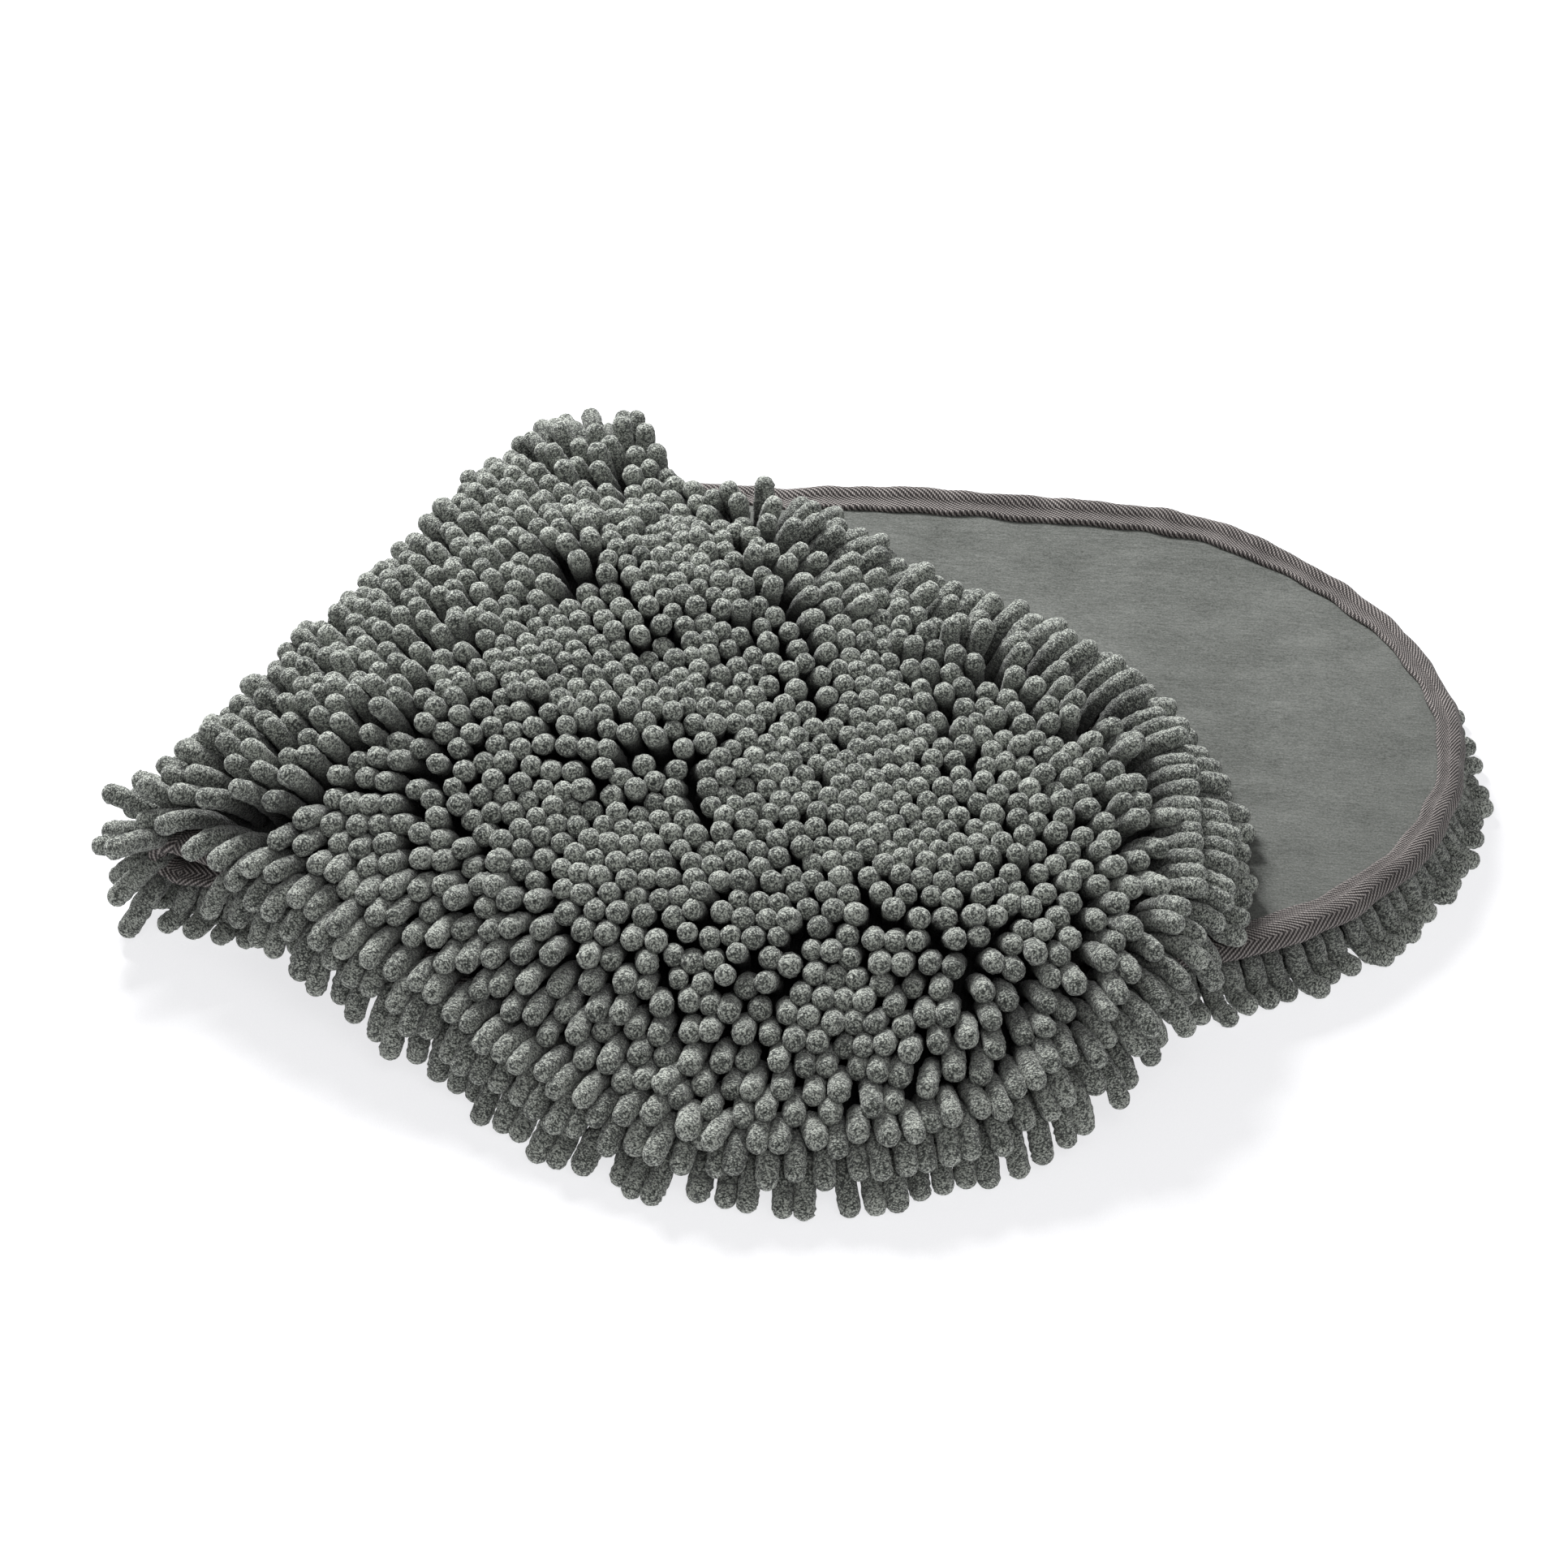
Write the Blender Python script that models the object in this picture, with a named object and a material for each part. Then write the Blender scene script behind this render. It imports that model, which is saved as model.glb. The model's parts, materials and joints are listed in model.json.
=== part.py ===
"""Double-ended chenille wash mitt, folded over once.

One long strip of chenille cloth with two round ends is bound with tape all round. Each round end carries a
pocket panel on the smooth side, open towards the middle, for a hand. The strip lies folded, pile outwards:
the lower half on the ground with its smooth side up, the upper half turned over on top of it. The fold is
made of two narrow segments, one bending with each half, so the mitt opens to one flat strip.

Frame: metres, +Z up, origin on the ground under the lower half's middle line, +X towards its round end.
"""

import math

import bmesh
import bpy
from mathutils import Matrix, Vector

MM = 0.001

# Plan of the strip
END_RADIUS = 115 * MM  # both round ends, and half the strip's width
FOLD_X = -120 * MM  # where the fold line crosses the lower half's middle
FOLD_SKEW = math.radians(19.5)  # fold line, measured from square across the lower half
LOWER_REACH = 223 * MM  # fold to the centre of the lower round end
UPPER_REACH = 165 * MM
UPPER_TURN = math.radians(-29.5)  # direction of the upper half, seen from above
LOWER_MOUTH = 75 * MM  # fold to the pocket's mouth, along each half
UPPER_MOUTH = 50 * MM

# Fold
HINGE_TURN = math.radians(60)  # between neighbours, folded against flat
SEGMENT = 5.8 * MM  # across the fold, from one bend to the next
FOLD_RISE = 2 * SEGMENT * math.sin(HINGE_TURN)
FOLD_HALF = END_RADIUS / math.cos(FOLD_SKEW)  # half the length of the fold line

# Layers, counted from the smooth face of the base cloth
CLOTH = 1.6 * MM
PANEL = 0.8 * MM
TAPE = 0.8 * MM
GAP = 0.3 * MM
PILE_START = CLOTH + TAPE + 2 * GAP
PILE = 18 * MM
FOLD_PILE = 18 * MM
TAPE_WIDTH = 12.5 * MM
MOUTH_TAPE_WIDTH = 10 * MM
SEAM_INSET = 10.7 * MM  # edge seam, from the strip's edge
SEAM_GAP = 0.5 * MM
MOUTH_SEAM_INSET = 7.8 * MM
THREAD_RADIUS = 0.3 * MM
BARTACK = Vector((8 * MM, 3 * MM, 0.7 * MM))
BARTACK_CLEAR = 1 * MM  # from the end of the mouth's tape
BARTACK_TRIM = (0.7 * MM, 1.1 * MM)  # at the mouth, and at the seam
MOUTH_END_CLEAR = 0.9 * MM

# Clearance of each layer where the fold bends
CLOTH_TRIM = 0.3 * MM
TAPE_TRIM = 0.9 * MM
PILE_TRIM = 0.5 * MM

# Heights of the smooth faces above the ground
LOWER_FACE = 19.6 * MM
STACK = 6.7 * MM  # seams and bindings of both halves between the two faces
FRONT_FACE = 6.0 * MM  # where the upper half hangs to the ground in front
FALL_START = -116 * MM
FALL_LENGTH = 76 * MM
FOLD_FLAT = 4 * MM
FOLD_EASE = 45 * MM
LOWER_LOFT = 5.5 * MM  # how far each pocket stands open behind its mouth
UPPER_LOFT = 4.5 * MM
MOUTH_SIDE_GAP = 1.3 * MM  # how far the mouth's ends stand off, for the tape inside them
LOFT_HOLD = 20 * MM
LOFT_FADE = 65 * MM
CURL_RISE = 6 * MM  # the lower half's back edge turns up
CURL_WIDTH = 30 * MM
CURL_FROM = (-30 * MM, 40 * MM)
CURL_TO = (120 * MM, 185 * MM)

# Soft ridges of the upper half: crest points and how far they stand up
RIDGE_WIDTH = 15 * MM
RIDGE_SHARE = 0.8  # how much of a ridge the panel under it does not follow
RIDGES = (
    (8 * MM, ((-70 * MM, 23 * MM), (-5 * MM, 14 * MM), (14 * MM, -9 * MM))),
    (8 * MM, ((-116 * MM, -73 * MM), (-60 * MM, -67 * MM), (-11 * MM, -59 * MM))),
)

# Pile edge: how far it stands out past the cloth and how it rounds off
PILE_OUT = 10 * MM
PILE_SHOULDER = 1.7 * MM
SHOULDER_HEIGHT = 0.84
RIM_HEIGHT = 0.35
RIM_DROP = 4 * MM
RIM_FLOOR = 0.6 * MM

# Divisions
FOLD_ZONE = 4
HAND_ZONE = 10
ARC_STEPS = 20
RING_EDGE = 13.5 * MM
INNER_RINGS = (0.36, 0.6, 0.8, 1.0)
MOUTH_INDEX = FOLD_ZONE
LEGS_RUNNING_OUT = (1, 5)  # faces of the tape's section that run from its inner end to the edge

FOLD_DIR = Vector((math.sin(FOLD_SKEW), math.cos(FOLD_SKEW), 0))
FOLD_OUT = Vector((-math.cos(FOLD_SKEW), math.sin(FOLD_SKEW), 0))
FOLD_POINT = Vector((FOLD_X, 0, 0))
UP = Vector((0, 0, 1))

COLOURS = {
    "chenille_pile": ((0.135, 0.142, 0.133), 0.95),
    "base_cloth": ((0.115, 0.120, 0.113), 0.95),
    "pocket_fabric": ((0.185, 0.190, 0.182), 0.85),
    "binding_tape": ((0.120, 0.108, 0.104), 0.80),
    "thread": ((0.105, 0.098, 0.094), 0.70),
}


def smooth(t):
    """Ease from 0 to 1."""
    t = min(max(t, 0.0), 1.0)
    return t * t * (3 - 2 * t)


class Half:
    """Plan and heights of one half of the strip, from the fold line to its round end."""

    def __init__(self, name, turn, reach, mouth, loft, side):
        self.name = name
        self.axis = Vector((math.cos(turn), math.sin(turn), 0))
        self.across = Vector((-math.sin(turn), math.cos(turn), 0))
        self.reach = reach
        self.mouth = mouth
        self.loft = loft
        self.side = side  # +1 when the smooth face looks up, -1 when it looks down

    def local(self, point):
        """Distance along the half from the fold, and across it from the middle."""
        offset = Vector((point.x, point.y, 0)) - FOLD_POINT
        return offset.dot(self.axis), offset.dot(self.across)

    def pocket_gap(self, point):
        """Height of the hand space between the base cloth and the pocket panel."""
        along, across = self.local(point)
        hold = 1 - smooth((along - self.mouth - LOFT_HOLD) / LOFT_FADE)
        bulge = max(0.0, 1 - (across / (END_RADIUS - RING_EDGE)) ** 2) ** 2
        return GAP + self.loft * hold * bulge

    def panel_gap(self, point, ring):
        """The same, with the mouth's ends held off the cloth inside the edge tape."""
        if ring == 0:
            return GAP
        along = self.local(point)[0]
        return self.pocket_gap(point) + MOUTH_SIDE_GAP * (1 - smooth((along - self.mouth) / LOFT_FADE))

    def face(self, point):
        """Height of the smooth face of the base cloth."""
        if self.side > 0:
            return lower_face(point)
        return upper_face(point)

    def stations(self, trim, first=0):
        """Pairs of edge point and middle point, from the back of the fold round to its front."""
        step = self.axis * (trim / abs(self.axis.dot(FOLD_OUT)))
        centre = FOLD_POINT + self.axis * self.reach
        mouth = FOLD_POINT + self.axis * self.mouth
        sides = {}
        for sign in (1, -1):
            fold_edge = FOLD_POINT + step + sign * FOLD_HALF * FOLD_DIR
            mouth_edge = mouth + sign * END_RADIUS * self.across
            round_edge = centre + sign * END_RADIUS * self.across
            pairs = []
            for k in range(FOLD_ZONE):
                t = k / FOLD_ZONE
                pairs.append((fold_edge.lerp(mouth_edge, t), (FOLD_POINT + step).lerp(mouth, t)))
            for k in range(HAND_ZONE):
                t = k / HAND_ZONE
                pairs.append((mouth_edge.lerp(round_edge, t), mouth.lerp(centre, t)))
            sides[sign] = pairs[first:]
        arc = []
        for k in range(ARC_STEPS + 1):
            angle = math.pi * (0.5 - k / ARC_STEPS)
            rim = math.cos(angle) * self.axis + math.sin(angle) * self.across
            arc.append((centre + END_RADIUS * rim, centre))
        return sides[1] + arc + sides[-1][::-1]


def ring_point(station, inset):
    """A plan point at a distance in from the edge, towards the middle."""
    edge, middle = station
    return edge.lerp(middle, inset / END_RADIUS)


def ridge_rise(point):
    """Height of the soft ridges of the upper half."""
    rise = 0.0
    for height, crest in RIDGES:
        nearest = 1.0
        for a, b in zip(crest, crest[1:]):
            start = Vector((*a, 0))
            span = Vector((*b, 0)) - start
            offset = Vector((point.x, point.y, 0)) - start
            t = min(max(offset.dot(span) / span.length_squared, 0.0), 1.0)
            nearest = min(nearest, (offset - t * span).length)
        rise += height * math.exp(-((nearest / RIDGE_WIDTH) ** 2))
    return rise


def lower_face(point):
    """The lower half lies flat, and its back edge turns up."""
    from_edge = END_RADIUS - point.y
    if point.x > FOLD_X + LOWER_REACH:
        centre = FOLD_POINT + Vector((LOWER_REACH, 0, 0))
        from_edge = END_RADIUS - (Vector((point.x, point.y, 0)) - centre).length
    if point.y < 0:
        return LOWER_FACE
    start = smooth((point.x - CURL_FROM[0]) / (CURL_FROM[1] - CURL_FROM[0]))
    end = 1 - smooth((point.x - CURL_TO[0]) / (CURL_TO[1] - CURL_TO[0]))
    return LOWER_FACE + CURL_RISE * start * end * smooth(1 - from_edge / CURL_WIDTH)


def upper_face(point):
    """The upper half rests on the lower one, swells over the pockets and hangs down in front."""
    from_fold = (FOLD_POINT - Vector((point.x, point.y, 0))).dot(FOLD_OUT)
    away = smooth((from_fold - FOLD_FLAT) / FOLD_EASE)
    resting = LOWER_FACE + STACK + LOWER.panel_gap(point, 1) + UPPER.panel_gap(point, 1)
    height = LOWER_FACE + FOLD_RISE
    height += away * (resting + ridge_rise(point) - height)
    fall = away * smooth((FALL_START - point.y) / FALL_LENGTH)
    return height + fall * (FRONT_FACE - height)


LOWER = Half("lower", 0.0, LOWER_REACH, LOWER_MOUTH, LOWER_LOFT, 1)
UPPER = Half("upper", UPPER_TURN, UPPER_REACH, UPPER_MOUTH, UPPER_LOFT, -1)


# Blender helpers


def clear_scene():
    """Remove what the file holds."""
    for thing in list(bpy.data.objects):
        bpy.data.objects.remove(thing, do_unlink=True)


def make_material(name):
    """A Principled material for one slot."""
    colour, roughness = COLOURS[name]
    material = bpy.data.materials.new(name)
    material.use_nodes = True
    shader = material.node_tree.nodes["Principled BSDF"]
    shader.inputs["Base Color"].default_value = (*colour, 1)
    shader.inputs["Roughness"].default_value = roughness
    shader.inputs["Metallic"].default_value = 0.0
    return material


def add_object(name, data, slot):
    """Link an object for one sub-part, with its own copy of the slot's material."""
    thing = bpy.data.objects.new(name, data)
    data.materials.append(make_material(slot))
    COLLECTION.objects.link(thing)
    return thing


def mesh_object(name, bm, slot):
    """Finish a bmesh as one closed, outward-facing body."""
    bmesh.ops.recalc_face_normals(bm, faces=bm.faces)
    mesh = bpy.data.meshes.new(name)
    bm.to_mesh(mesh)
    bm.free()
    mesh.shade_smooth()
    mesh.set_sharp_from_angle(angle=math.radians(40))
    return add_object(name, mesh, slot)


def draped_grid(rows, columns, place, turned=()):
    """A triangulated grid whose points go where place(row, column) says, coincident ones joined.

    Faces in the turned columns are split along their other diagonal, so that layers which run the opposite
    way round still lie parallel.
    """
    bm = bmesh.new()
    bmesh.ops.create_grid(bm, x_segments=columns, y_segments=rows, size=1.0)
    other = [f for f in bm.faces if int((f.calc_center_median().x + 1) / 2 * columns) in turned]
    bmesh.ops.triangulate(bm, faces=other, quad_method="ALTERNATE")
    bmesh.ops.triangulate(bm, faces=[f for f in bm.faces if len(f.verts) > 3], quad_method="FIXED")
    low = bm.verts.layers.float.new("low")
    for vert in bm.verts:
        column = round((vert.co.x + 1) / 2 * columns)
        row = round((vert.co.y + 1) / 2 * rows)
        vert.co, vert[low] = place(row, column)
    bmesh.ops.remove_doubles(bm, verts=bm.verts, dist=1e-6)
    return bm, low


def sheet(name, half, trim, first, insets, heights, slot):
    """A draped layer. heights(point, ring) gives its two faces' heights over a point of the cloth."""
    stations = half.stations(trim, first)

    def place(row, column):
        point = ring_point(stations[row], insets[column])
        cloth_point = ring_point(stations[row], max(insets[column], 0.0))
        high, low = heights(cloth_point, column)
        return Vector((point.x, point.y, high)), low

    bm, low = draped_grid(len(stations) - 1, len(insets) - 1, place)
    copy = bmesh.ops.extrude_face_region(bm, geom=bm.faces[:])
    for item in copy["geom"]:
        if isinstance(item, bmesh.types.BMVert):
            item.co.z = item[low]
    return mesh_object(name, bm, slot)


def folded_tape(name, path):
    """A tape wrapped over an edge: path holds, for each station, the eight corners of its section."""

    def place(row, column):
        return path[row][column % len(path[row])], 0.0

    bm, _ = draped_grid(len(path) - 1, len(path[0]), place, LEGS_RUNNING_OUT)
    bmesh.ops.holes_fill(bm, edges=bm.edges, sides=0)
    bmesh.ops.triangulate(bm, faces=bm.faces, ngon_method="EAR_CLIP")
    return mesh_object(name, bm, "binding_tape")


def seam(name, points):
    """A line of thread."""
    curve = bpy.data.curves.new(name, "CURVE")
    curve.dimensions = "3D"
    spline = curve.splines.new("POLY")
    spline.points.add(len(points) - 1)
    for target, point in zip(spline.points, points):
        target.co = (*point, 1)
    curve.bevel_depth = THREAD_RADIUS
    curve.bevel_resolution = 1
    curve.use_fill_caps = True
    return add_object(name, curve, "thread")


def box(name, low, high, matrix, slot):
    """A box between two corners, in the frame that the matrix gives."""
    low = Vector(low)
    high = Vector(high)
    bm = bmesh.new()
    bmesh.ops.create_cube(bm, size=1.0)
    for vert in bm.verts:
        for axis in range(3):
            vert.co[axis] = high[axis] if vert.co[axis] > 0 else low[axis]
    thing = mesh_object(name, bm, slot)
    thing.matrix_world = matrix
    return thing


# The pieces of one half

SHEET_INSETS = (0.0, RING_EDGE) + tuple(t * END_RADIUS for t in INNER_RINGS)
PILE_INSETS = (-PILE_OUT, -PILE_SHOULDER) + SHEET_INSETS[1:]


def base_cloth(half):
    """The knitted cloth that the chenille is tufted into."""

    def heights(point, ring):
        face = half.face(point)
        return face, face - half.side * CLOTH

    sheet(f"chenille_base_{half.name}", half, CLOTH_TRIM, 0, SHEET_INSETS, heights, "base_cloth")


def pile(half):
    """The mass of chenille fingers, rounded off at the strip's edge."""

    def heights(point, ring):
        start = half.face(point) - half.side * PILE_START
        share = (RIM_HEIGHT, SHOULDER_HEIGHT)[ring] if ring < 2 else 1.0
        drop = RIM_DROP if ring == 0 else 0.0
        if half.side > 0:
            return start - drop, 0.0
        return max(start - drop, RIM_FLOOR), start + share * PILE

    sheet(f"chenille_pile_{half.name}", half, PILE_TRIM, 0, PILE_INSETS, heights, "chenille_pile")


def pocket_panel(half):
    """The smooth panel sewn under the edge tape, open at the mouth."""

    def heights(point, ring):
        near = half.face(point) + half.side * half.panel_gap(point, ring)
        if half.side < 0:
            near -= ridge_share(point)
        return near, near + half.side * PANEL

    first = MOUTH_INDEX
    sheet(f"pocket_panel_{half.name}", half, 0.0, first, SHEET_INSETS, heights, "pocket_fabric")


def ridge_share(point):
    """The upper panel stays smooth where the cloth above it rises in a ridge."""
    from_edge = END_RADIUS - abs(UPPER.local(point)[1])
    return RIDGE_SHARE * ridge_rise(point) * smooth((from_edge - RING_EDGE) / LOFT_HOLD)


def tape_lift(half, station, ring):
    """Height of the inner face of the edge tape's leg above the smooth face."""
    index, _, _ = station
    point = ring_point(station[1:], SHEET_INSETS[ring])
    share = smooth((index - 1) / (MOUTH_INDEX - 2))
    return GAP + share * (half.panel_gap(point, ring) + PANEL)


def section(half, station, lift_edge, lift_inner):
    """The eight corners of the edge tape at one station."""
    pair = station[1:]
    edge = pair[0]
    inner = ring_point(pair, RING_EDGE)
    share = TAPE_WIDTH / RING_EDGE
    face_edge = half.face(edge)
    face_inner = face_edge + share * (half.face(inner) - face_edge)
    lift_inner = lift_edge + share * (lift_inner - lift_edge)
    back = -(CLOTH + GAP)
    corners = (
        (TAPE_WIDTH, face_inner, lift_inner + TAPE),
        (TAPE_WIDTH, face_inner, lift_inner),
        (-GAP, face_edge, lift_edge),
        (-GAP, face_edge, back),
        (TAPE_WIDTH, face_inner, back),
        (TAPE_WIDTH, face_inner, back - TAPE),
        (-GAP - TAPE, face_edge, back - TAPE),
        (-GAP - TAPE, face_edge, lift_edge + TAPE),
    )
    points = []
    for inset, face, lift in corners:
        plan = ring_point(pair, inset)
        points.append(Vector((plan.x, plan.y, face + half.side * lift)))
    return points


def numbered_stations(half, trim):
    """Stations with their distance in steps from the fold."""
    stations = half.stations(trim)
    last = len(stations) - 1
    return [(min(k, last - k), *pair) for k, pair in enumerate(stations)]


def edge_binding(half):
    """Herringbone tape folded over the edge, with its seam."""
    path = []
    thread = []
    for station in numbered_stations(half, TAPE_TRIM):
        lift_edge = tape_lift(half, station, 0)
        lift_inner = tape_lift(half, station, 1)
        path.append(section(half, station, lift_edge, lift_inner))
        outer, inner = path[-1][7], path[-1][0]
        point = outer.lerp(inner, (SEAM_INSET + GAP + TAPE) / (TAPE_WIDTH + GAP + TAPE))
        thread.append(point + UP * (half.side * (SEAM_GAP + THREAD_RADIUS)))
    folded_tape(f"edge_binding_{half.name}", path)
    seam(f"edge_stitching_{half.name}", thread)


def mouth_line(half):
    """Mouth points from back to front: the panel's edge and the next row behind it, both on its near face."""
    stations = half.stations(0.0, MOUTH_INDEX)
    pairs = []
    for here, behind in ((stations[0], stations[1]), (stations[-1], stations[-2])):
        row = []
        for ring, inset in enumerate(SHEET_INSETS):
            if ring == 0:
                continue
            ends = []
            for station in (here, behind):
                plan = ring_point(station, inset)
                gap = half.panel_gap(plan, ring)
                height = half.face(plan) + half.side * gap
                if half.side < 0:
                    height -= ridge_share(plan)
                ends.append(Vector((plan.x, plan.y, height)))
            row.append(ends)
        pairs.append(row)
    return pairs[0] + pairs[1][-2::-1]


def mouth_binding(half):
    """Tape folded over the pocket's mouth, its seam, and a bartack at each end."""
    path = []
    thread = []
    line = mouth_line(half)
    pitch = half.reach - half.mouth
    behind_share = MOUTH_TAPE_WIDTH / (pitch / HAND_ZONE)
    for k, (edge, behind) in enumerate(line):
        here = edge.copy()
        back = behind.copy()
        if k in (0, len(line) - 1):
            inward = line[1 if k == 0 else -2]
            width = (inward[0] - edge).length
            here = edge.lerp(inward[0], MOUTH_END_CLEAR / width)
            back = behind.lerp(inward[1], MOUTH_END_CLEAR / width)
        leg = back - here
        inner = here + leg * behind_share
        wrap = leg.normalized() * -(GAP + TAPE)
        gap_wrap = leg.normalized() * -GAP
        up = UP * half.side
        path.append(
            [
                inner + up * (PANEL + GAP + TAPE),
                inner + up * (PANEL + GAP),
                here + gap_wrap + up * (PANEL + GAP),
                here + gap_wrap - up * GAP,
                inner - up * GAP,
                inner - up * (GAP + TAPE),
                here + wrap - up * (GAP + TAPE),
                here + wrap + up * (PANEL + GAP + TAPE),
            ]
        )
        on_tape = here + leg * (behind_share * MOUTH_SEAM_INSET / MOUTH_TAPE_WIDTH)
        thread.append(on_tape + up * (PANEL + GAP + TAPE + SEAM_GAP + THREAD_RADIUS))
    folded_tape(f"pocket_mouth_binding_{half.name}", path)
    seam(f"mouth_stitching_{half.name}", thread)
    for end, label in ((0, "back"), (-1, "front")):
        bartack(half, path[end], path[1 if end == 0 else -2], label)


def bartack(half, outline, next_outline, label):
    """A short dense bar of stitches across the end of the mouth tape, clear of its seam."""
    outer, inner = outline[7], outline[0]
    along = (inner - outer).normalized()
    across = (next_outline[7] - outer).normalized()
    up = along.cross(across).normalized()
    if up.z * half.side < 0:
        up = -up
    frame = Matrix((along, up.cross(along), up)).transposed().to_4x4()
    middle = outer + along * (BARTACK.x / 2) + across * (BARTACK.y + BARTACK_CLEAR)
    frame.translation = middle + up * GAP
    low = (-BARTACK.x / 2 + BARTACK_TRIM[0], -BARTACK.y / 2, 0.0)
    high = (BARTACK.x / 2 - BARTACK_TRIM[1], BARTACK.y / 2, BARTACK.z)
    box(f"bartack_{half.name}_{label}", low, high, frame, "thread")


# The fold


def fold_frame(number):
    """Frame of a fold segment: X along it away from the lower half, Y on the bend, Z on its smooth side."""
    turn = number * HINGE_TURN
    along = math.cos(turn) * FOLD_OUT + math.sin(turn) * UP
    normal = math.cos(turn) * UP - math.sin(turn) * FOLD_OUT
    frame = Matrix((along, -FOLD_DIR, normal)).transposed().to_4x4()
    origin = FOLD_POINT + LOWER_FACE * UP
    if number == 2:
        first_turn = HINGE_TURN
        origin = origin + SEGMENT * (math.cos(first_turn) * FOLD_OUT + math.sin(first_turn) * UP)
    frame.translation = origin
    return frame


def fold_tape(number, label, sign):
    """The edge tape where it crosses one fold segment, as an extruded outline."""
    lean = 1 / math.cos(FOLD_SKEW)
    edge = FOLD_HALF
    inner = edge - TAPE_WIDTH * lean
    back = -(CLOTH + GAP)
    outline = (
        (inner, GAP + TAPE),
        (inner, GAP),
        (edge + GAP, GAP),
        (edge + GAP, back),
        (inner, back),
        (inner, back - TAPE),
        (edge + GAP + TAPE, back - TAPE),
        (edge + GAP + TAPE, GAP + TAPE),
    )
    name = f"edge_binding_fold_{label}_{number}"
    curve = bpy.data.curves.new(name, "CURVE")
    curve.dimensions = "2D"
    curve.fill_mode = "BOTH"
    curve.extrude = SEGMENT / 2 - TAPE_TRIM
    spline = curve.splines.new("POLY")
    spline.points.add(len(outline) - 1)
    for target, (out, height) in zip(spline.points, outline):
        target.co = (out, height, 0, 1)
    spline.use_cyclic_u = True
    thing = add_object(name, curve, "binding_tape")
    frame = fold_frame(number)
    axes = frame.to_3x3()
    out = axes.col[1] * sign
    height = axes.col[2]
    across = out.cross(height)
    placed = Matrix((out, height, across)).transposed().to_4x4()
    placed.translation = frame @ Vector((SEGMENT / 2, 0, 0))
    thing.matrix_world = placed


def fold_segment(number):
    """Cloth, pile and edge tape of one narrow segment between two bends."""
    frame = fold_frame(number)
    low = (CLOTH_TRIM, -FOLD_HALF, -CLOTH)
    high = (SEGMENT - CLOTH_TRIM, FOLD_HALF, 0)
    box(f"chenille_base_fold_{number}", low, high, frame, "base_cloth")
    reach = FOLD_HALF + PILE_OUT
    low = (PILE_TRIM, -reach, -PILE_START - FOLD_PILE)
    high = (SEGMENT - PILE_TRIM, reach, -PILE_START)
    box(f"chenille_pile_fold_{number}", low, high, frame, "chenille_pile")
    fold_tape(number, "front", 1)
    fold_tape(number, "back", -1)


def build():
    """Make every piece."""
    for half in (LOWER, UPPER):
        base_cloth(half)
        pile(half)
        pocket_panel(half)
        edge_binding(half)
        mouth_binding(half)
    for number in (1, 2):
        fold_segment(number)


clear_scene()
COLLECTION = bpy.data.collections.new("wash_mitt")
bpy.context.scene.collection.children.link(COLLECTION)
build()
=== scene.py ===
import json
import math

import bmesh
import bpy
import numpy as np
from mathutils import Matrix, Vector
from mathutils.bvhtree import BVHTree


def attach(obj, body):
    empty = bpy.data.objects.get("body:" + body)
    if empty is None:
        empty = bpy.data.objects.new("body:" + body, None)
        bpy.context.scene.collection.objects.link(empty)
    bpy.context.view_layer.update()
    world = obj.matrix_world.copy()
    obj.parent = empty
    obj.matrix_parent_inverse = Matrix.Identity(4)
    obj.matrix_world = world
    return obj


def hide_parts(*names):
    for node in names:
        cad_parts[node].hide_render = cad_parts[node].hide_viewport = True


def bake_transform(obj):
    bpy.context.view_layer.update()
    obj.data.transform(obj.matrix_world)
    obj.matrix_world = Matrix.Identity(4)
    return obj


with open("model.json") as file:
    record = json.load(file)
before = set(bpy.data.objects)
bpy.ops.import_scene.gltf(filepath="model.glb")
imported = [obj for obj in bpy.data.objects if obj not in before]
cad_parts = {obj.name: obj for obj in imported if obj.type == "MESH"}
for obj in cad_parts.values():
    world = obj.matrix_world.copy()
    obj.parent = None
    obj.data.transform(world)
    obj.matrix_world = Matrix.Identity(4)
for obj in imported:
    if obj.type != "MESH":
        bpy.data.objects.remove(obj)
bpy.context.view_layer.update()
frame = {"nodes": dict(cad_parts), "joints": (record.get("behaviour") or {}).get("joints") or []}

MM = 0.001
UP = np.array([0.0, 0.0, 1.0])
RANDOM = np.random.default_rng(7)

# Chenille fingers
FINGER_LENGTH = 25.5 * MM
FINGER_RADIUS = 3.12 * MM
FINGER_PITCH = 7.2 * MM
SHOWN_FINGER = (22, 12)  # rings along a finger and points round it
HIDDEN_FINGER = (10, 8)
MOST_FINGERS = 300  # in one mesh
UPPER_ROWS = (4.5 * MM, 9.3 * MM, 14.1 * MM)  # rows of roots along the edge, from the strip's edge
LOWER_ROWS = (6.8 * MM, 14.5 * MM)
ROW_GAP = 5.7 * MM  # from the last of those rows to the staggered roots inside
FOLD_GAP = 3 * MM  # without roots, at the fold line

# How the fingers settle
ROUNDS = 90
SAG = 0.3 * MM
PRESSED = 0.96  # share of their two radii that neighbours keep between them
ROOT_STIFFNESS = 0.3
BEND_STIFFNESS = 0.22
PUSH = 0.35
NEAR = 2.6 * FINGER_RADIUS

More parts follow.
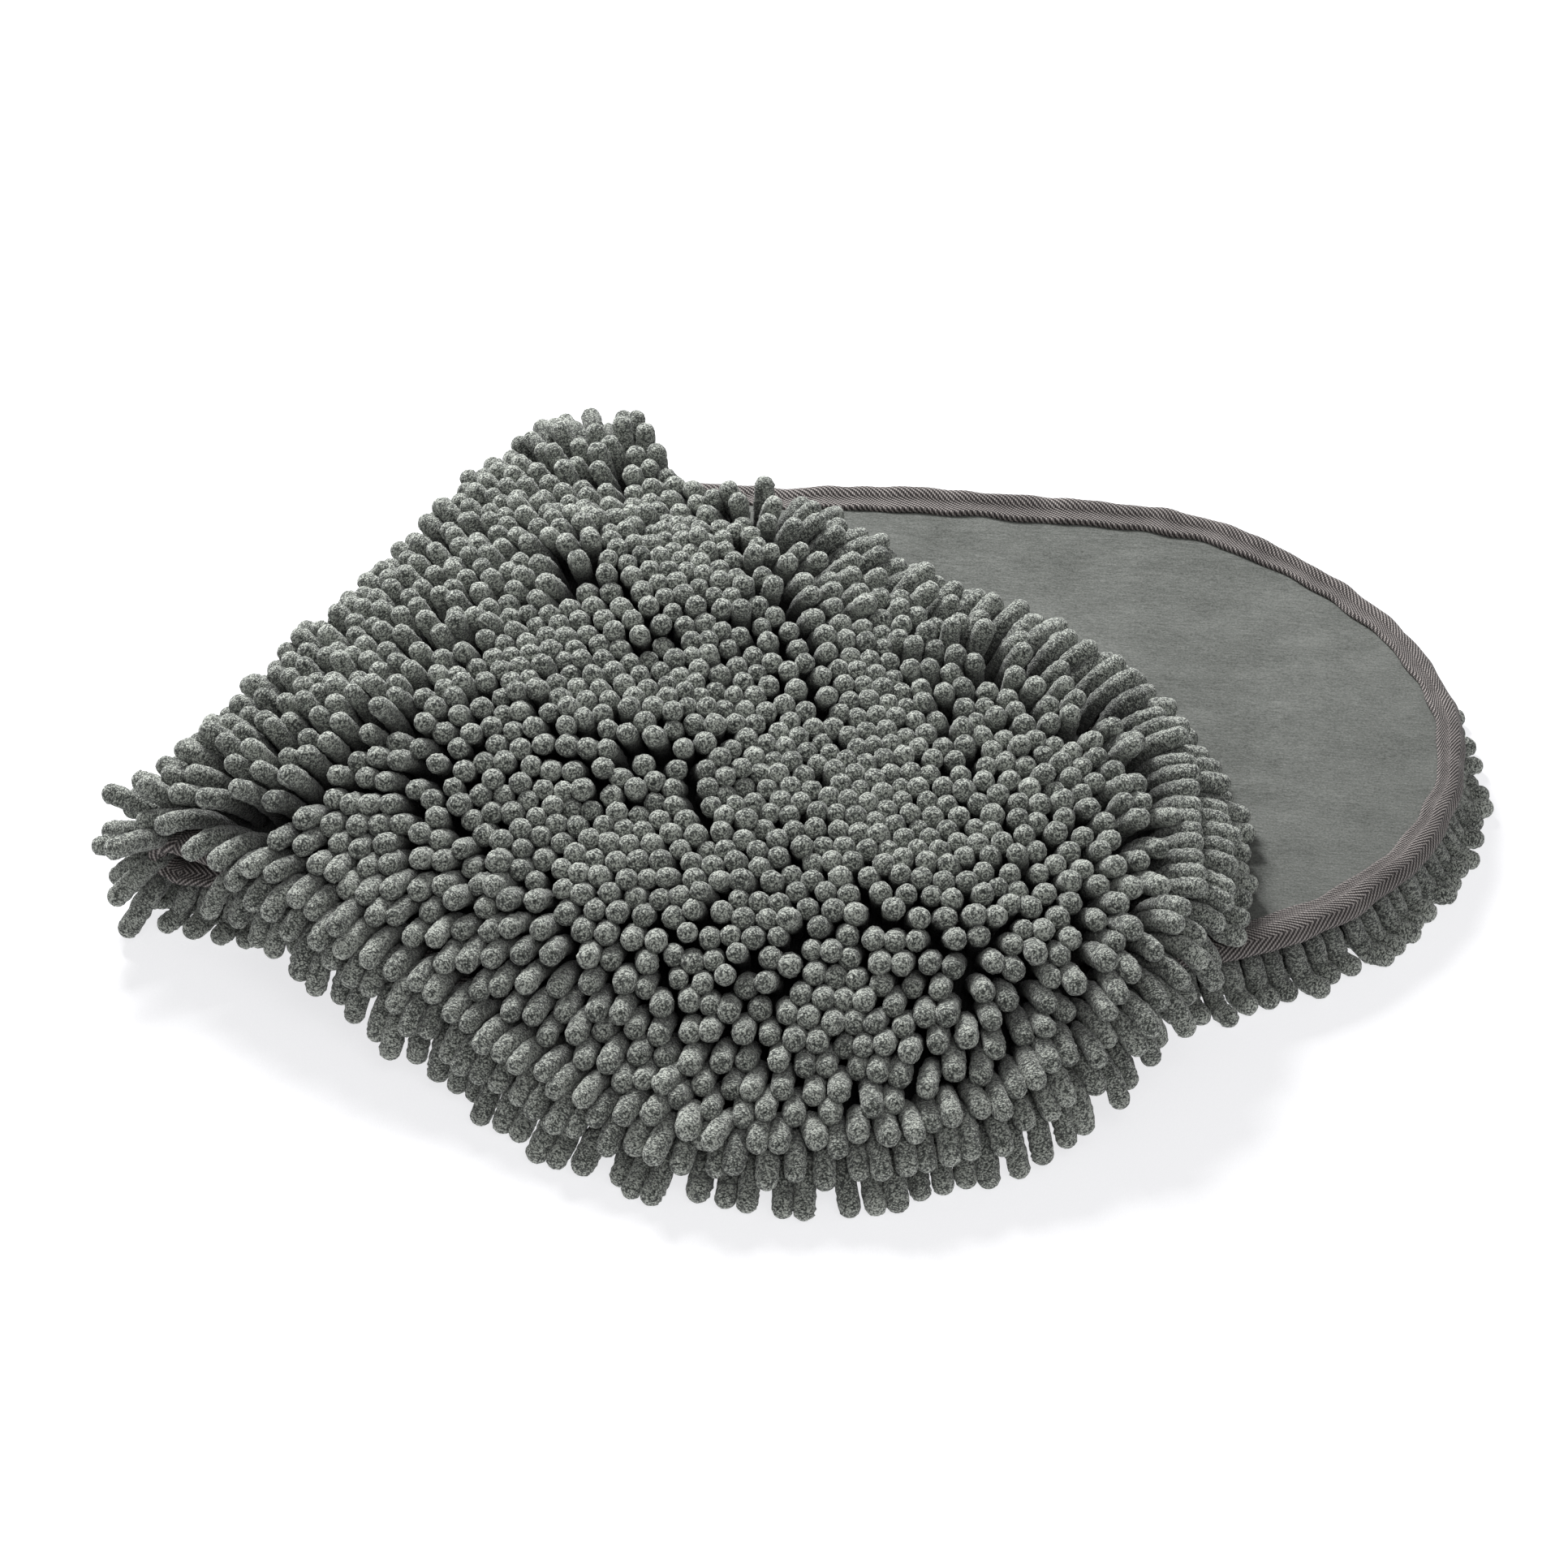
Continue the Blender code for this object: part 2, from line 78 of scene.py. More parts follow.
# Cloth, tape and thread
CLOTH = 1.4 * MM
PANEL = 0.8 * MM
SHEET_INSET = 0.8 * MM  # of the sheets' edges inside the edge tape
TAPE = 0.75 * MM
MOUTH_TAPE = 0.55 * MM
TAPE_LEG = 10.5 * MM  # on the smooth face
TAPE_SINK = 0.85 * MM  # where no pocket panel lies under the tape
STITCH = 2.6 * MM
STITCH_PITCH = 3.3 * MM
THREAD = 0.24 * MM
THREAD_BOW = 0.16 * MM
BARTACK_THREAD = 0.27 * MM

# Outer face of the tapes, in mm: distance in from the edge and height over the smooth face.
# It runs from the inner end on the smooth side over the edge to the far side.
EDGE_OUTLINE = (
    (10.5, 1.15), (10.6, 1.6), (10.2, 1.9), (9.4, 1.82), (8.4, 1.76), (7.2, 1.8), (6.2, 1.98),
    (5.6, 2.32), (5.0, 2.5), (4.4, 2.42), (3.4, 2.3), (2.3, 2.05), (1.2, 1.6), (0.2, 0.85),
    (-0.5, 0.0), (-0.8, -0.8), (-0.6, -1.6), (0.1, -2.2), (1.4, -2.5), (3.6, -2.6), (6.5, -2.6),
    (9.5, -2.6), (11.6, -2.6), (11.8, -2.2),
)
MOUTH_OUTLINE = (
    (10.0, 0.15), (10.05, 0.55), (9.5, 0.78), (8.0, 0.72), (6.0, 0.74), (4.0, 0.8), (2.0, 0.82),
    (0.6, 0.7), (-0.4, 0.25), (-0.75, -0.45), (-0.3, -1.2), (0.8, -1.6), (3.0, -1.65), (6.0, -1.6),
    (9.2, -1.6), (9.4, -1.3),
)
FACE_RISE = 0.4 * MM  # what is higher lies on the smooth face


def unit(v):
    """Vectors scaled to length one."""
    return v / np.maximum(np.linalg.norm(v, axis=-1, keepdims=True), 1e-12)


def smooth(t):
    """Ease from 0 to 1."""
    t = np.clip(t, 0.0, 1.0)
    return t * t * (3 - 2 * t)


def mix(a, b, t):
    """Straight blend of a and b."""
    return a + (b - a) * t


def bell(x, middle, width):
    """One at the middle, falling off on both sides."""
    return np.exp(-(((x - middle) / width) ** 2))


def fade(x, width):
    """One at zero and below, falling off above."""
    return np.exp(-np.maximum(x, 0) / width)


# The strip's plan, from the frame


def node_points(node):
    """A CAD node's vertices."""
    return np.array([v.co for v in frame["nodes"][node].data.vertices], float)


hinges = {j["name"]: j for j in frame["joints"]}
low_hinge = np.array(hinges["fold_lower_hinge"]["pos_m"], float)
high_hinge = np.array(hinges["fold_upper_hinge"]["pos_m"], float)
FOLD_MIDDLE = (low_hinge + high_hinge) / 2
FOLD_RADIUS = (high_hinge[2] - low_hinge[2]) / 2
DIR3 = unit(-np.array(hinges["fold_hinge"]["axis"], float))
OUT3 = np.cross(UP, DIR3)
FOLD_POINT, FOLD_DIR, FOLD_OUT = FOLD_MIDDLE[:2], DIR3[:2], OUT3[:2]
END_RADIUS = float(np.ptp(node_points("chenille_base_lower")[:, 1])) / 2
FOLD_HALF = float(np.ptp(node_points("chenille_base_fold_1")[:, :2] @ FOLD_DIR)) / 2


class HeightMap:
    """A smooth height over the plan, taken from one face of a CAD sheet."""

    CELL = 2.5 * MM
    MARGIN = 40 * MM
    BLURS = 3
    FAR = 1.0

    def __init__(self, node, from_above):
        points = node_points(node)
        polygons = [tuple(p.vertices) for p in frame["nodes"][node].data.polygons]
        tree = BVHTree.FromPolygons([Vector(p) for p in points], polygons)
        self.low = points[:, :2].min(0) - self.MARGIN
        size = points[:, :2].max(0) + self.MARGIN - self.low
        self.shape = np.ceil(size / self.CELL).astype(int) + 1
        start = self.FAR if from_above else -self.FAR
        grid = np.full(self.shape, np.nan)
        for i, j in np.ndindex(*self.shape):
            x, y = self.low + self.CELL * np.array([i, j])
            hit = tree.ray_cast(Vector((x, y, start)), Vector((0, 0, -start)))[0]
            if hit is not None:
                grid[i, j] = hit.z
        self.grid = self.blurred(self.filled(grid))

    @staticmethod
    def filled(grid):
        """Cells past the sheet's edge continue it."""
        known = ~np.isnan(grid)
        values = np.where(known, grid, 0.0)
        while not known.all():
            total = np.zeros_like(values)
            count = np.zeros_like(values)
            for shift in np.ndindex(3, 3):
                near = np.roll(known, np.subtract(shift, 1), (0, 1))
                total += np.where(near, np.roll(values, np.subtract(shift, 1), (0, 1)), 0)
                count += near
            values = np.where(~known & (count > 0), total / np.maximum(count, 1), values)
            known = known | (count > 0)
        return values

    def blurred(self, grid):
        """Soften the sheet's facets."""
        for _ in range(self.BLURS):
            padded = np.pad(grid, 1, mode="edge")
            rows = (padded[:-2] + 2 * padded[1:-1] + padded[2:]) / 4
            grid = (rows[:, :-2] + 2 * rows[:, 1:-1] + rows[:, 2:]) / 4
        return grid

    def height(self, xy):
        """Height at plan points."""
        p = np.clip((np.asarray(xy) - self.low) / self.CELL, 0, self.shape - 1.001)
        i = np.floor(p).astype(int)
        f = p - i
        g = self.grid
        a = mix(g[i[..., 0], i[..., 1]], g[i[..., 0] + 1, i[..., 1]], f[..., 0])
        b = mix(g[i[..., 0], i[..., 1] + 1], g[i[..., 0] + 1, i[..., 1] + 1], f[..., 0])
        return mix(a, b, f[..., 1])

    def normal(self, xy, step):
        """Upward normal at plan points, of length one."""
        dx = np.array([step, 0.0])
        dy = np.array([0.0, step])
        gx = (self.height(xy + dx) - self.height(xy - dx)) / (2 * step)
        gy = (self.height(xy + dy) - self.height(xy - dy)) / (2 * step)
        return unit(np.stack([-gx, -gy, np.ones_like(gx)], -1))


class Half:
    """Plan and surface of one half of the strip; side is 1 where the smooth face looks up."""

    def __init__(self, name, side):
        self.name = name
        self.body = f"{name}_half"
        self.side = side
        points = node_points(f"chenille_base_{name}")[:, :2] - FOLD_POINT
        tip = points[np.argmax(np.linalg.norm(points, axis=1))]
        length = np.linalg.norm(tip)
        self.axis = tip / length
        self.across = np.array([-self.axis[1], self.axis[0]])
        self.reach = length - END_RADIUS
        panel = node_points(f"pocket_panel_{name}")[:, :2] - FOLD_POINT
        self.mouth = float((panel @ self.axis).min())
        self.face = HeightMap(f"chenille_base_{name}", side > 0)
        self.panel = HeightMap(f"pocket_panel_{name}", side > 0)
        back = FOLD_HALF * np.array([FOLD_DIR @ self.axis, FOLD_DIR @ self.across])
        self.fold_ends = {1: back, -1: -back}

    def local(self, xy):
        """Distances along and across the half, from the fold's middle."""
        offset = np.asarray(xy) - FOLD_POINT
        return offset @ self.axis, offset @ self.across

    def plan(self, along, across):
        """The plan point at those distances."""
        return FOLD_POINT + np.multiply.outer(along, self.axis) + np.multiply.outer(across, self.across)

    def half_width(self, along, sign):
        """Distance from the middle to the edge at the back (1) or front (-1)."""
        end = self.fold_ends[sign]
        t = np.clip((along - end[0]) / (self.mouth - end[0]), 0, 1)
        return mix(abs(end[1]), END_RADIUS, t)

    def edge_distance(self, xy):
        """Distance in from the bound edge, negative outside."""
        along, across = self.local(xy)
        width = np.where(across > 0, self.half_width(along, 1), self.half_width(along, -1))
        beyond = np.maximum(along - self.reach, 0)
        return np.where(beyond > 0, END_RADIUS - np.hypot(beyond, across), width - np.abs(across))

    def outward(self, xy):
        """Unit plan direction from the middle to the nearest edge."""
        along, across = self.local(xy)
        beyond = np.maximum(along - self.reach, 0)
        return unit(np.multiply.outer(beyond, self.axis) + np.multiply.outer(across, self.across))


def fold_distance(xy):
    """Distance of plan points from the fold line, over the strip."""
    return -(np.asarray(xy) - FOLD_POINT) @ FOLD_OUT


def fold_point(along, angle, radius):
    """Points round the fold: along its line, and at an angle up from straight out."""
    centre = FOLD_MIDDLE + np.multiply.outer(along, DIR3)
    return centre + radius[..., None] * (np.cos(angle)[..., None] * OUT3 + np.sin(angle)[..., None] * UP)


LOWER = Half("lower", 1)
UPPER = Half("upper", -1)


def wave(xy, scale, seed, count=6):
    """A smooth random value between about -1 and 1 over the plan."""
    rng = np.random.default_rng(seed)
    total = 0.0
    for _ in range(count):
        angle = rng.uniform(0, 2 * math.pi)
        pitch = scale * rng.uniform(0.7, 1.6)
        phase = rng.uniform(0, 2 * math.pi)
        way = np.array([math.cos(angle), math.sin(angle)]) * 2 * math.pi / pitch
        total = total + np.sin(xy @ way + phase)
    return total / math.sqrt(count)


def wave_pair(xy, scale, seed):
    """Two such values at each point."""
    return np.stack([wave(xy, scale, seed), wave(xy, scale, seed + 1)], -1)


def noise_line(s, lengths, seed):
    """A smooth random value along a line, from waves of the given lengths in mm."""
    rng = np.random.default_rng(seed)
    total = 0.0
    for length in lengths:
        total = total + np.sin(2 * np.pi * s / (length * MM) + rng.uniform(0, 2 * np.pi))
    return total / math.sqrt(len(lengths))


class Edge:
    """The bound edge of a half, from the back of the fold round the end to its front."""

    STEP = 1.6 * MM
    EASE = 12 * MM  # near the fold, where the way in turns along the fold line
    ARC_POINTS = 60
    ROUNDING = 12

    def __init__(self, half):
        self.half = half
        bends = np.linspace(math.pi / 2, -math.pi / 2, self.ARC_POINTS)
        arc = np.column_stack([half.reach + END_RADIUS * np.cos(bends), END_RADIUS * np.sin(bends)])
        back = [half.fold_ends[1], (half.mouth, END_RADIUS)]
        front = [(half.mouth, -END_RADIUS), half.fold_ends[-1]]
        line = resample(half.plan(*np.array([*back, *arc, *front]).T), self.STEP)
        for _ in range(self.ROUNDING):
            line[1:-1] = (line[:-2] + 2 * line[1:-1] + line[2:]) / 4
        self.line = resample(line, self.STEP)
        self.s = np.arange(len(self.line)) * np.linalg.norm(self.line[1] - self.line[0])
        self.length = self.s[-1]
        tangent = unit(np.gradient(self.line, axis=0))
        inward = np.column_stack([tangent[:, 1], -tangent[:, 0]])
        inward = mix(-FOLD_DIR, inward, smooth(self.s / self.EASE)[:, None])
        self.inward = unit(mix(FOLD_DIR, inward, smooth((self.length - self.s) / self.EASE)[:, None]))
        along = half.local(self.line)[0]
        self.low = TAPE_SINK * (1 - smooth((along - half.mouth + 4 * MM) / (16 * MM)))
        self.narrow = 4 * MM * bell(self.s / self.length, 0.46, 0.13)

    def point(self, inset, rise):
        """Points by their distance in from the edge and height over the smooth face."""
        inset = np.broadcast_to(inset, self.s.shape)[:, None]
        xy = self.line + self.inward * inset
        under = self.line + self.inward * np.maximum(inset, 0.5 * MM)
        return np.column_stack([xy, self.half.face.height(under) + self.half.side * rise])


def distances(line):
    """How far each point is along a line."""
    return np.concatenate([[0], np.cumsum(np.linalg.norm(np.diff(line, axis=0), axis=1))])


def resample(line, step):
    """The line with evenly spaced points."""
    run = distances(line)
    at = np.linspace(0, run[-1], int(round(run[-1] / step)) + 1)
    return along_line(at, run, line)


def along_line(at, run, values):
    """Values at places along a line, from those known at the distances run."""
    return np.column_stack([np.interp(at, run, column) for column in values.T])


# Mesh building


def make_mesh(name, points, quads, triangles=(), attributes=()):
    """A smooth mesh object from arrays."""
    mesh = bpy.data.meshes.new(name)
    faces = quads.tolist() + np.asarray(triangles).tolist()
    mesh.from_pydata(points.tolist(), [], faces)
    mesh.shade_smooth()
    mesh.validate()
    for key, values in dict(attributes).items():
        layer = mesh.attributes.new(key, "FLOAT", "POINT")
        layer.data.foreach_set("value", np.asarray(values, np.float32).ravel())
    thing = bpy.data.objects.new(name, mesh)
    bpy.context.scene.collection.objects.link(thing)
    return thing


def place(thing, body, node, *materials):
    """Let a piece ride a body in place of a CAD node."""
    for material in materials:
        thing.data.materials.append(material)
    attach(thing, body)
    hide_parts(node)


def grid_quads(rows, columns, wrap=False):
    """Quads of a grid of points in row order."""
    r = np.arange(rows - 1)[:, None]
    c = np.arange(columns if wrap else columns - 1)[None, :]
    d = (c + 1) % columns
    corners = [r * columns + c, r * columns + d, (r + 1) * columns + d, (r + 1) * columns + c]
    return np.stack(corners, -1).reshape(-1, 4)


def repeated(faces, count, block):
    """The same faces for count blocks of points."""
    return (faces[None] + (np.arange(count) * block)[:, None, None]).reshape(-1, faces.shape[1])


# Fingers


class Pile:
    """Fingers of all bodies, so that they can settle against each other."""

    NODES = 6
    FREE = NODES - 1  # nodes of a finger that can move

    def __init__(self):
        self.groups = []
        self.columns = []

    def add(self, label, body, replaced, roots, ways, bends, shape, weights=1.0, shaded=0.3, scale=1.0):
        """Note fingers that run from roots along ways, then turn towards bends."""
        count = len(roots)
        lengths = FINGER_LENGTH * scale * RANDOM.normal(1, 0.05, count)
        radii = FINGER_RADIUS * RANDOM.normal(1, 0.04, count)
        spread = [np.broadcast_to(value, count) for value in (weights, shaded)]
        self.groups.append((label, body, replaced, shape))
        self.columns.append((roots, ways, bends, lengths, radii, *spread))

    def gather(self):
        """Every finger as a chain of nodes."""
        joined = [np.concatenate(values) for values in zip(*self.columns)]
        roots, self.ways, bends, self.lengths, self.radii, self.weights, self.shaded = joined
        self.owner = np.repeat(np.arange(len(self.groups)), [len(c[0]) for c in self.columns])
        self.step = (self.lengths - self.radii) / self.FREE
        nodes = [roots]
        for k in range(self.FREE):
            way = unit(mix(self.ways, bends, smooth(k / (self.FREE - 1))))
            nodes.append(nodes[-1] + way * self.step[:, None])
        self.nodes = np.stack(nodes, 1)

    def near_pairs(self):
        """Pairs of nodes of different fingers that are near each other, by a grid of cells."""
        points = self.nodes[:, 1:].reshape(-1, 3)
        finger = np.repeat(np.arange(len(self.nodes)), self.FREE)
        cell = np.floor(points / NEAR).astype(np.int64)
        cell -= cell.min(0) - 1
        size = cell.max(0) + 2
        key = (cell[:, 0] * size[1] + cell[:, 1]) * size[2] + cell[:, 2]
        order = np.argsort(key, kind="stable")
        ordered = key[order]
        firsts, seconds = [], []
        steps = np.array(list(np.ndindex(3, 3, 3))) - 1
        for i, j, k in steps[len(steps) // 2 :]:
            sought = key + (i * size[1] + j) * size[2] + k
            low = np.searchsorted(ordered, sought, "left")
            found = np.searchsorted(ordered, sought, "right") - low
            a = np.repeat(np.arange(len(key)), found)
            within = np.arange(found.sum()) - np.repeat(np.cumsum(found) - found, found)
            b = order[np.repeat(low, found) + within]
            keep = finger[a] != finger[b]
            if not (i or j or k):
                keep &= a < b
            a, b = a[keep], b[keep]
            near = np.linalg.norm(points[a] - points[b], axis=1) < NEAR
            firsts.append(a[near])
            seconds.append(b[near])
        return np.concatenate(firsts), np.concatenate(seconds)

    def settle(self):
        """Let the fingers sag, bend back, push each other apart and rest on what is near."""
        radius = np.repeat(self.radii, self.FREE)
        owner = np.repeat(self.owner, self.FREE)
        for turn in range(ROUNDS):
            if turn % 5 == 0:
                first, second = self.near_pairs()
                want = (radius[first] + radius[second]) * PRESSED
            self.nodes[:, 1:, 2] -= SAG * self.weights[:, None]
            self.stiffen()
            points = self.nodes[:, 1:].reshape(-1, 3)
            for _ in range(2):
                push_apart(points, first, second, want)
            points = pile_limits(points, radius, owner)
            self.nodes[:, 1:] = points.reshape(-1, self.FREE, 3)
            for k in range(1, self.NODES):
                run = self.nodes[:, k] - self.nodes[:, k - 1]
                self.nodes[:, k] = self.nodes[:, k - 1] + unit(run) * self.step[:, None]

    def stiffen(self):
        """Bend each finger back some of the way to straight."""
        straight = self.nodes[:, 0] + self.ways * self.step[:, None]
        self.nodes[:, 1] += ROOT_STIFFNESS * (straight - self.nodes[:, 1])
        for k in range(2, self.NODES):
            ahead = 2 * self.nodes[:, k - 1] - self.nodes[:, k - 2]
            self.nodes[:, k] += BEND_STIFFNESS * (ahead - self.nodes[:, k])

    def build(self, material):
        """Meshes of every group, each riding its body."""
        for number, (label, body, replaced, shape) in enumerate(self.groups):
            picked = np.flatnonzero(self.owner == number)
            for part, begin in enumerate(range(0, len(picked), MOST_FINGERS)):
                name = f"chenille_fingers_{label}_{part + 1}"
                thing = self.piece(name, picked[begin : begin + MOST_FINGERS], *shape)
                place(thing, body, replaced, material)

    def piece(self, name, picked, rings, sides):
        """One mesh of many bent fingers, each closed."""
        nodes = self.nodes[picked]
        lengths = self.lengths[picked][:, None]
        count = len(picked)
        share = (1 - np.linspace(1, 0, rings) ** 1.2) * 0.992  # rings are denser near the tip
        path, tangent = curve_through(nodes, share * lengths / self.step[picked][:, None])
        first = carried(np.cross(tangent[:, 0], RANDOM.normal(size=(count, 3))), tangent)
        second = np.cross(tangent, first)
        radius = finger_radius(share, lengths, self.radii[picked][:, None], rings, sides)
        angle = np.linspace(0, 2 * np.pi, sides, endpoint=False)
        angle = angle + np.pi / sides * (np.arange(rings) % 2)[:, None]
        points = path[:, :, None] + first[:, :, None] * (radius * np.cos(angle))[..., None]
        points = points + second[:, :, None] * (radius * np.sin(angle))[..., None]
        tips = path[:, -1] + tangent[:, -1] * 0.008 * lengths
        ends = np.stack([nodes[:, 0], tips], 1)
        block = rings * sides + 2
        points = np.concatenate([points.reshape(count, -1, 3), ends], 1).reshape(-1, 3)
        points[:, 2] = resting(points[:, 2])
        quads = repeated(grid_quads(rings, sides, wrap=True), count, block)
        fans = repeated(end_fans(rings, sides), count, block)
        depth = np.array([*np.repeat(share, sides), 0, 1]) * lengths
        tone = np.repeat(RANDOM.normal(0, 1, count), block)
        # Painted shade: the light attribute scales each finger's colour down towards its root.
        light = painted_root_shade(depth, self.shaded[picked][:, None])
        return make_mesh(name, points, quads, fans, {"tone": tone, "depth": depth, "light": light})


def push_apart(points, first, second, want):
    """Part pairs of points that are closer than wanted."""
    gap = points[first] - points[second]
    apart = np.linalg.norm(gap, axis=1)
    push = np.maximum(want - apart, 0) * PUSH
    shift = gap * (push / np.maximum(apart, 1e-6))[:, None]
    for axis in range(3):
        points[:, axis] += np.bincount(first, shift[:, axis], len(points))
        points[:, axis] -= np.bincount(second, shift[:, axis], len(points))


def carried(start, tangent):
    """A direction square to each finger, carried along it without twist."""
    frames = [unit(start)]
    for k in range(1, tangent.shape[1]):
        last = frames[-1]
        frames.append(unit(last - tangent[:, k] * np.sum(last * tangent[:, k], 1, keepdims=True)))
    return np.stack(frames, 1)


def finger_radius(share, lengths, radii, rings, sides):
    """Distance of the uneven surface from each finger's middle line."""
    count = len(lengths)
    radius = finger_profile(share, lengths, radii, RANDOM.uniform(0, 1, (count, 1)))
    ridge = share * lengths / (1.8 * MM) + RANDOM.uniform(0, 1, (count, 1))
    radius = radius * (1 + 0.025 * np.sin(2 * np.pi * ridge))
    return radius[..., None] * (1 + RANDOM.normal(0, 0.04, (count, rings, sides)))


def finger_profile(u, length, radius, kind):
    """A thinner stem, a full body and a round tip; some fingers are more of a pear."""
    pear = smooth((kind - 0.7) / 0.3)
    stem = 0.72 + 0.28 * smooth(u / (0.4 + 0.3 * pear))
    belly = 1 + (0.04 + 0.07 * pear) * np.sin(np.pi * np.clip((u - 0.45) / 0.55, 0, 1))
    tip = 1.05 * radius / length
    cap = np.clip((u - (1 - tip)) / tip, 0, 1)
    return radius * stem * belly * np.sqrt(1 - cap**2.3)


def end_fans(rings, sides):
    """Triangles that close a finger's ends, round two points that follow its rings."""
    ring = np.arange(sides)
    after = (ring + 1) % sides
    root = np.stack([np.full(sides, rings * sides), after, ring], -1)
    last = (rings - 1) * sides
    tip = np.stack([np.full(sides, rings * sides + 1), last + ring, last + after], -1)
    return np.concatenate([root, tip])


def painted_root_shade(depth, shaded):
    """Painted shade along a finger: how light its colour is made, dark at a root that others shade."""
    among = mix(0.03, 1.05, smooth((depth - 8 * MM) / (17 * MM)))
    alone = mix(0.3, 1.0, smooth(depth / (12 * MM)))
    return mix(alone, among, shaded)


def resting(height, soft=0.5 * MM):
    """Heights with everything below the ground pressed flat on it."""
    return np.where(height < soft, soft * np.exp(np.minimum(height / soft, 1) - 1), height)


def curve_through(nodes, at):
    """Points and unit tangents of smooth curves through nodes, at distances in steps."""
    last = nodes.shape[1] - 1
    before = 2 * nodes[:, :1] - nodes[:, 1:2]
    after = 2 * nodes[:, -1:] - nodes[:, -2:-1]
    padded = np.concatenate([before, nodes, after], 1)
    i = np.clip(np.floor(at).astype(int), 0, last - 1)
    t = (at - i)[..., None]
    row = np.arange(len(nodes))[:, None]
    a, b, c, d = (padded[row, i + k] for k in range(4))
    square = 2 * a - 5 * b + 4 * c - d
    cube = 3 * (b - c) + d - a
    point = b + 0.5 * t * (c - a + t * (square + t * cube))
    slope = 0.5 * (c - a) + t * square + 1.5 * t**2 * cube
    beyond = (at > last)[..., None]
    step = nodes[:, -1:] - nodes[:, -2:-1]
    point = np.where(beyond, nodes[:, -1:] + step * (at - last)[..., None], point)
    return point, unit(np.where(beyond, step, slope))


def edge_roots(half, inset, number):
    """A row of tufts along the bound edge."""
    edge = Edge(half)
    at = np.arange(3 * MM + number % 2 * FINGER_PITCH / 2, edge.length - 2 * MM, FINGER_PITCH)
    at = at + RANDOM.normal(0, 0.08 * FINGER_PITCH, len(at))
    xy = along_line(at, edge.s, edge.line + edge.inward * inset)
    return xy[fold_distance(xy) > FOLD_GAP]


def staggered_roots(half, inset):
    """Staggered rows of tufts over a half, slightly out of line."""
    rows = np.arange(-160 * MM, 360 * MM, FINGER_PITCH * math.sqrt(3) / 2)
    columns = np.arange(-150 * MM, 150 * MM, FINGER_PITCH)
    across, along = np.meshgrid(columns, rows)
    across = across + (np.arange(len(rows)) % 2)[:, None] * FINGER_PITCH / 2
    xy = half.plan(along.ravel(), across.ravel())
    xy = xy + RANDOM.normal(0, 0.06 * FINGER_PITCH, xy.shape)
    return xy[(half.edge_distance(xy) > inset) & (fold_distance(xy) > FOLD_GAP)]


def half_roots(half, insets):
    """Roots of a half's fingers: rows along the edge, and staggered ones inside."""
    rows = [edge_roots(half, inset, k) for k, inset in enumerate(insets)]
    return np.concatenate([*rows, staggered_roots(half, insets[-1] + ROW_GAP)])


def add_upper_fingers(pile):
    """The pile of the upper half: upright in the middle, splayed and hanging at the edge."""
    xy = half_roots(UPPER, UPPER_ROWS)
    front = UPPER.local(xy)[1] < 0
    at_loop = (UPPER.edge_distance(xy) < 13 * MM) & (fold_distance(xy) < 24 * MM) & front
    xy = xy[~at_loop]  # the tape's turn shows there
    from_edge = UPPER.edge_distance(xy) - UPPER_ROWS[0]
    from_fold = fold_distance(xy)
    along, across = UPPER.local(xy)
    rim = fade(from_edge, 14 * MM)
    tucked = bell(from_fold, 54 * MM, 42 * MM) * smooth((across - 30 * MM) / (50 * MM))
    widest = np.radians(70 - 14 * smooth(along / (UPPER.reach + END_RADIUS)))
    splay = mix(widest * rim, -np.radians(30) * np.exp(-from_edge / (40 * MM)), tucked)
    drift = 0.08 * wave_pair(xy, 60 * MM, 11) + RANDOM.normal(0, 0.06, xy.shape)
    brushed = np.array([0.0, -0.42]) * ((1 - rim) * smooth(from_fold / (60 * MM)))[:, None]
    fold_lean = np.radians(52) * fade(from_fold, 13 * MM)
    flat = UPPER.outward(xy) * np.tan(splay)[:, None] + drift + brushed
    flat = flat + FOLD_OUT * np.tan(fold_lean)[:, None]
    normal = UPPER.face.normal(xy, 12 * MM) * (0.7, 0.7, 1)
    ways = unit(normal + np.column_stack([flat, np.zeros(len(xy))]))
    bends = unit(ways + np.column_stack([flat * 0.5, -0.5 * np.sin(np.abs(splay))]))
    roots = np.column_stack([xy, UPPER.face.height(xy) + CLOTH])
    loose = rim * (1 - tucked)
    target = ("upper", UPPER.body, "chenille_pile_upper")
    pile.add(*target, roots, ways, bends, SHOWN_FINGER, weights=0.5 + 1.3 * loose, shaded=1 - 0.5 * loose)


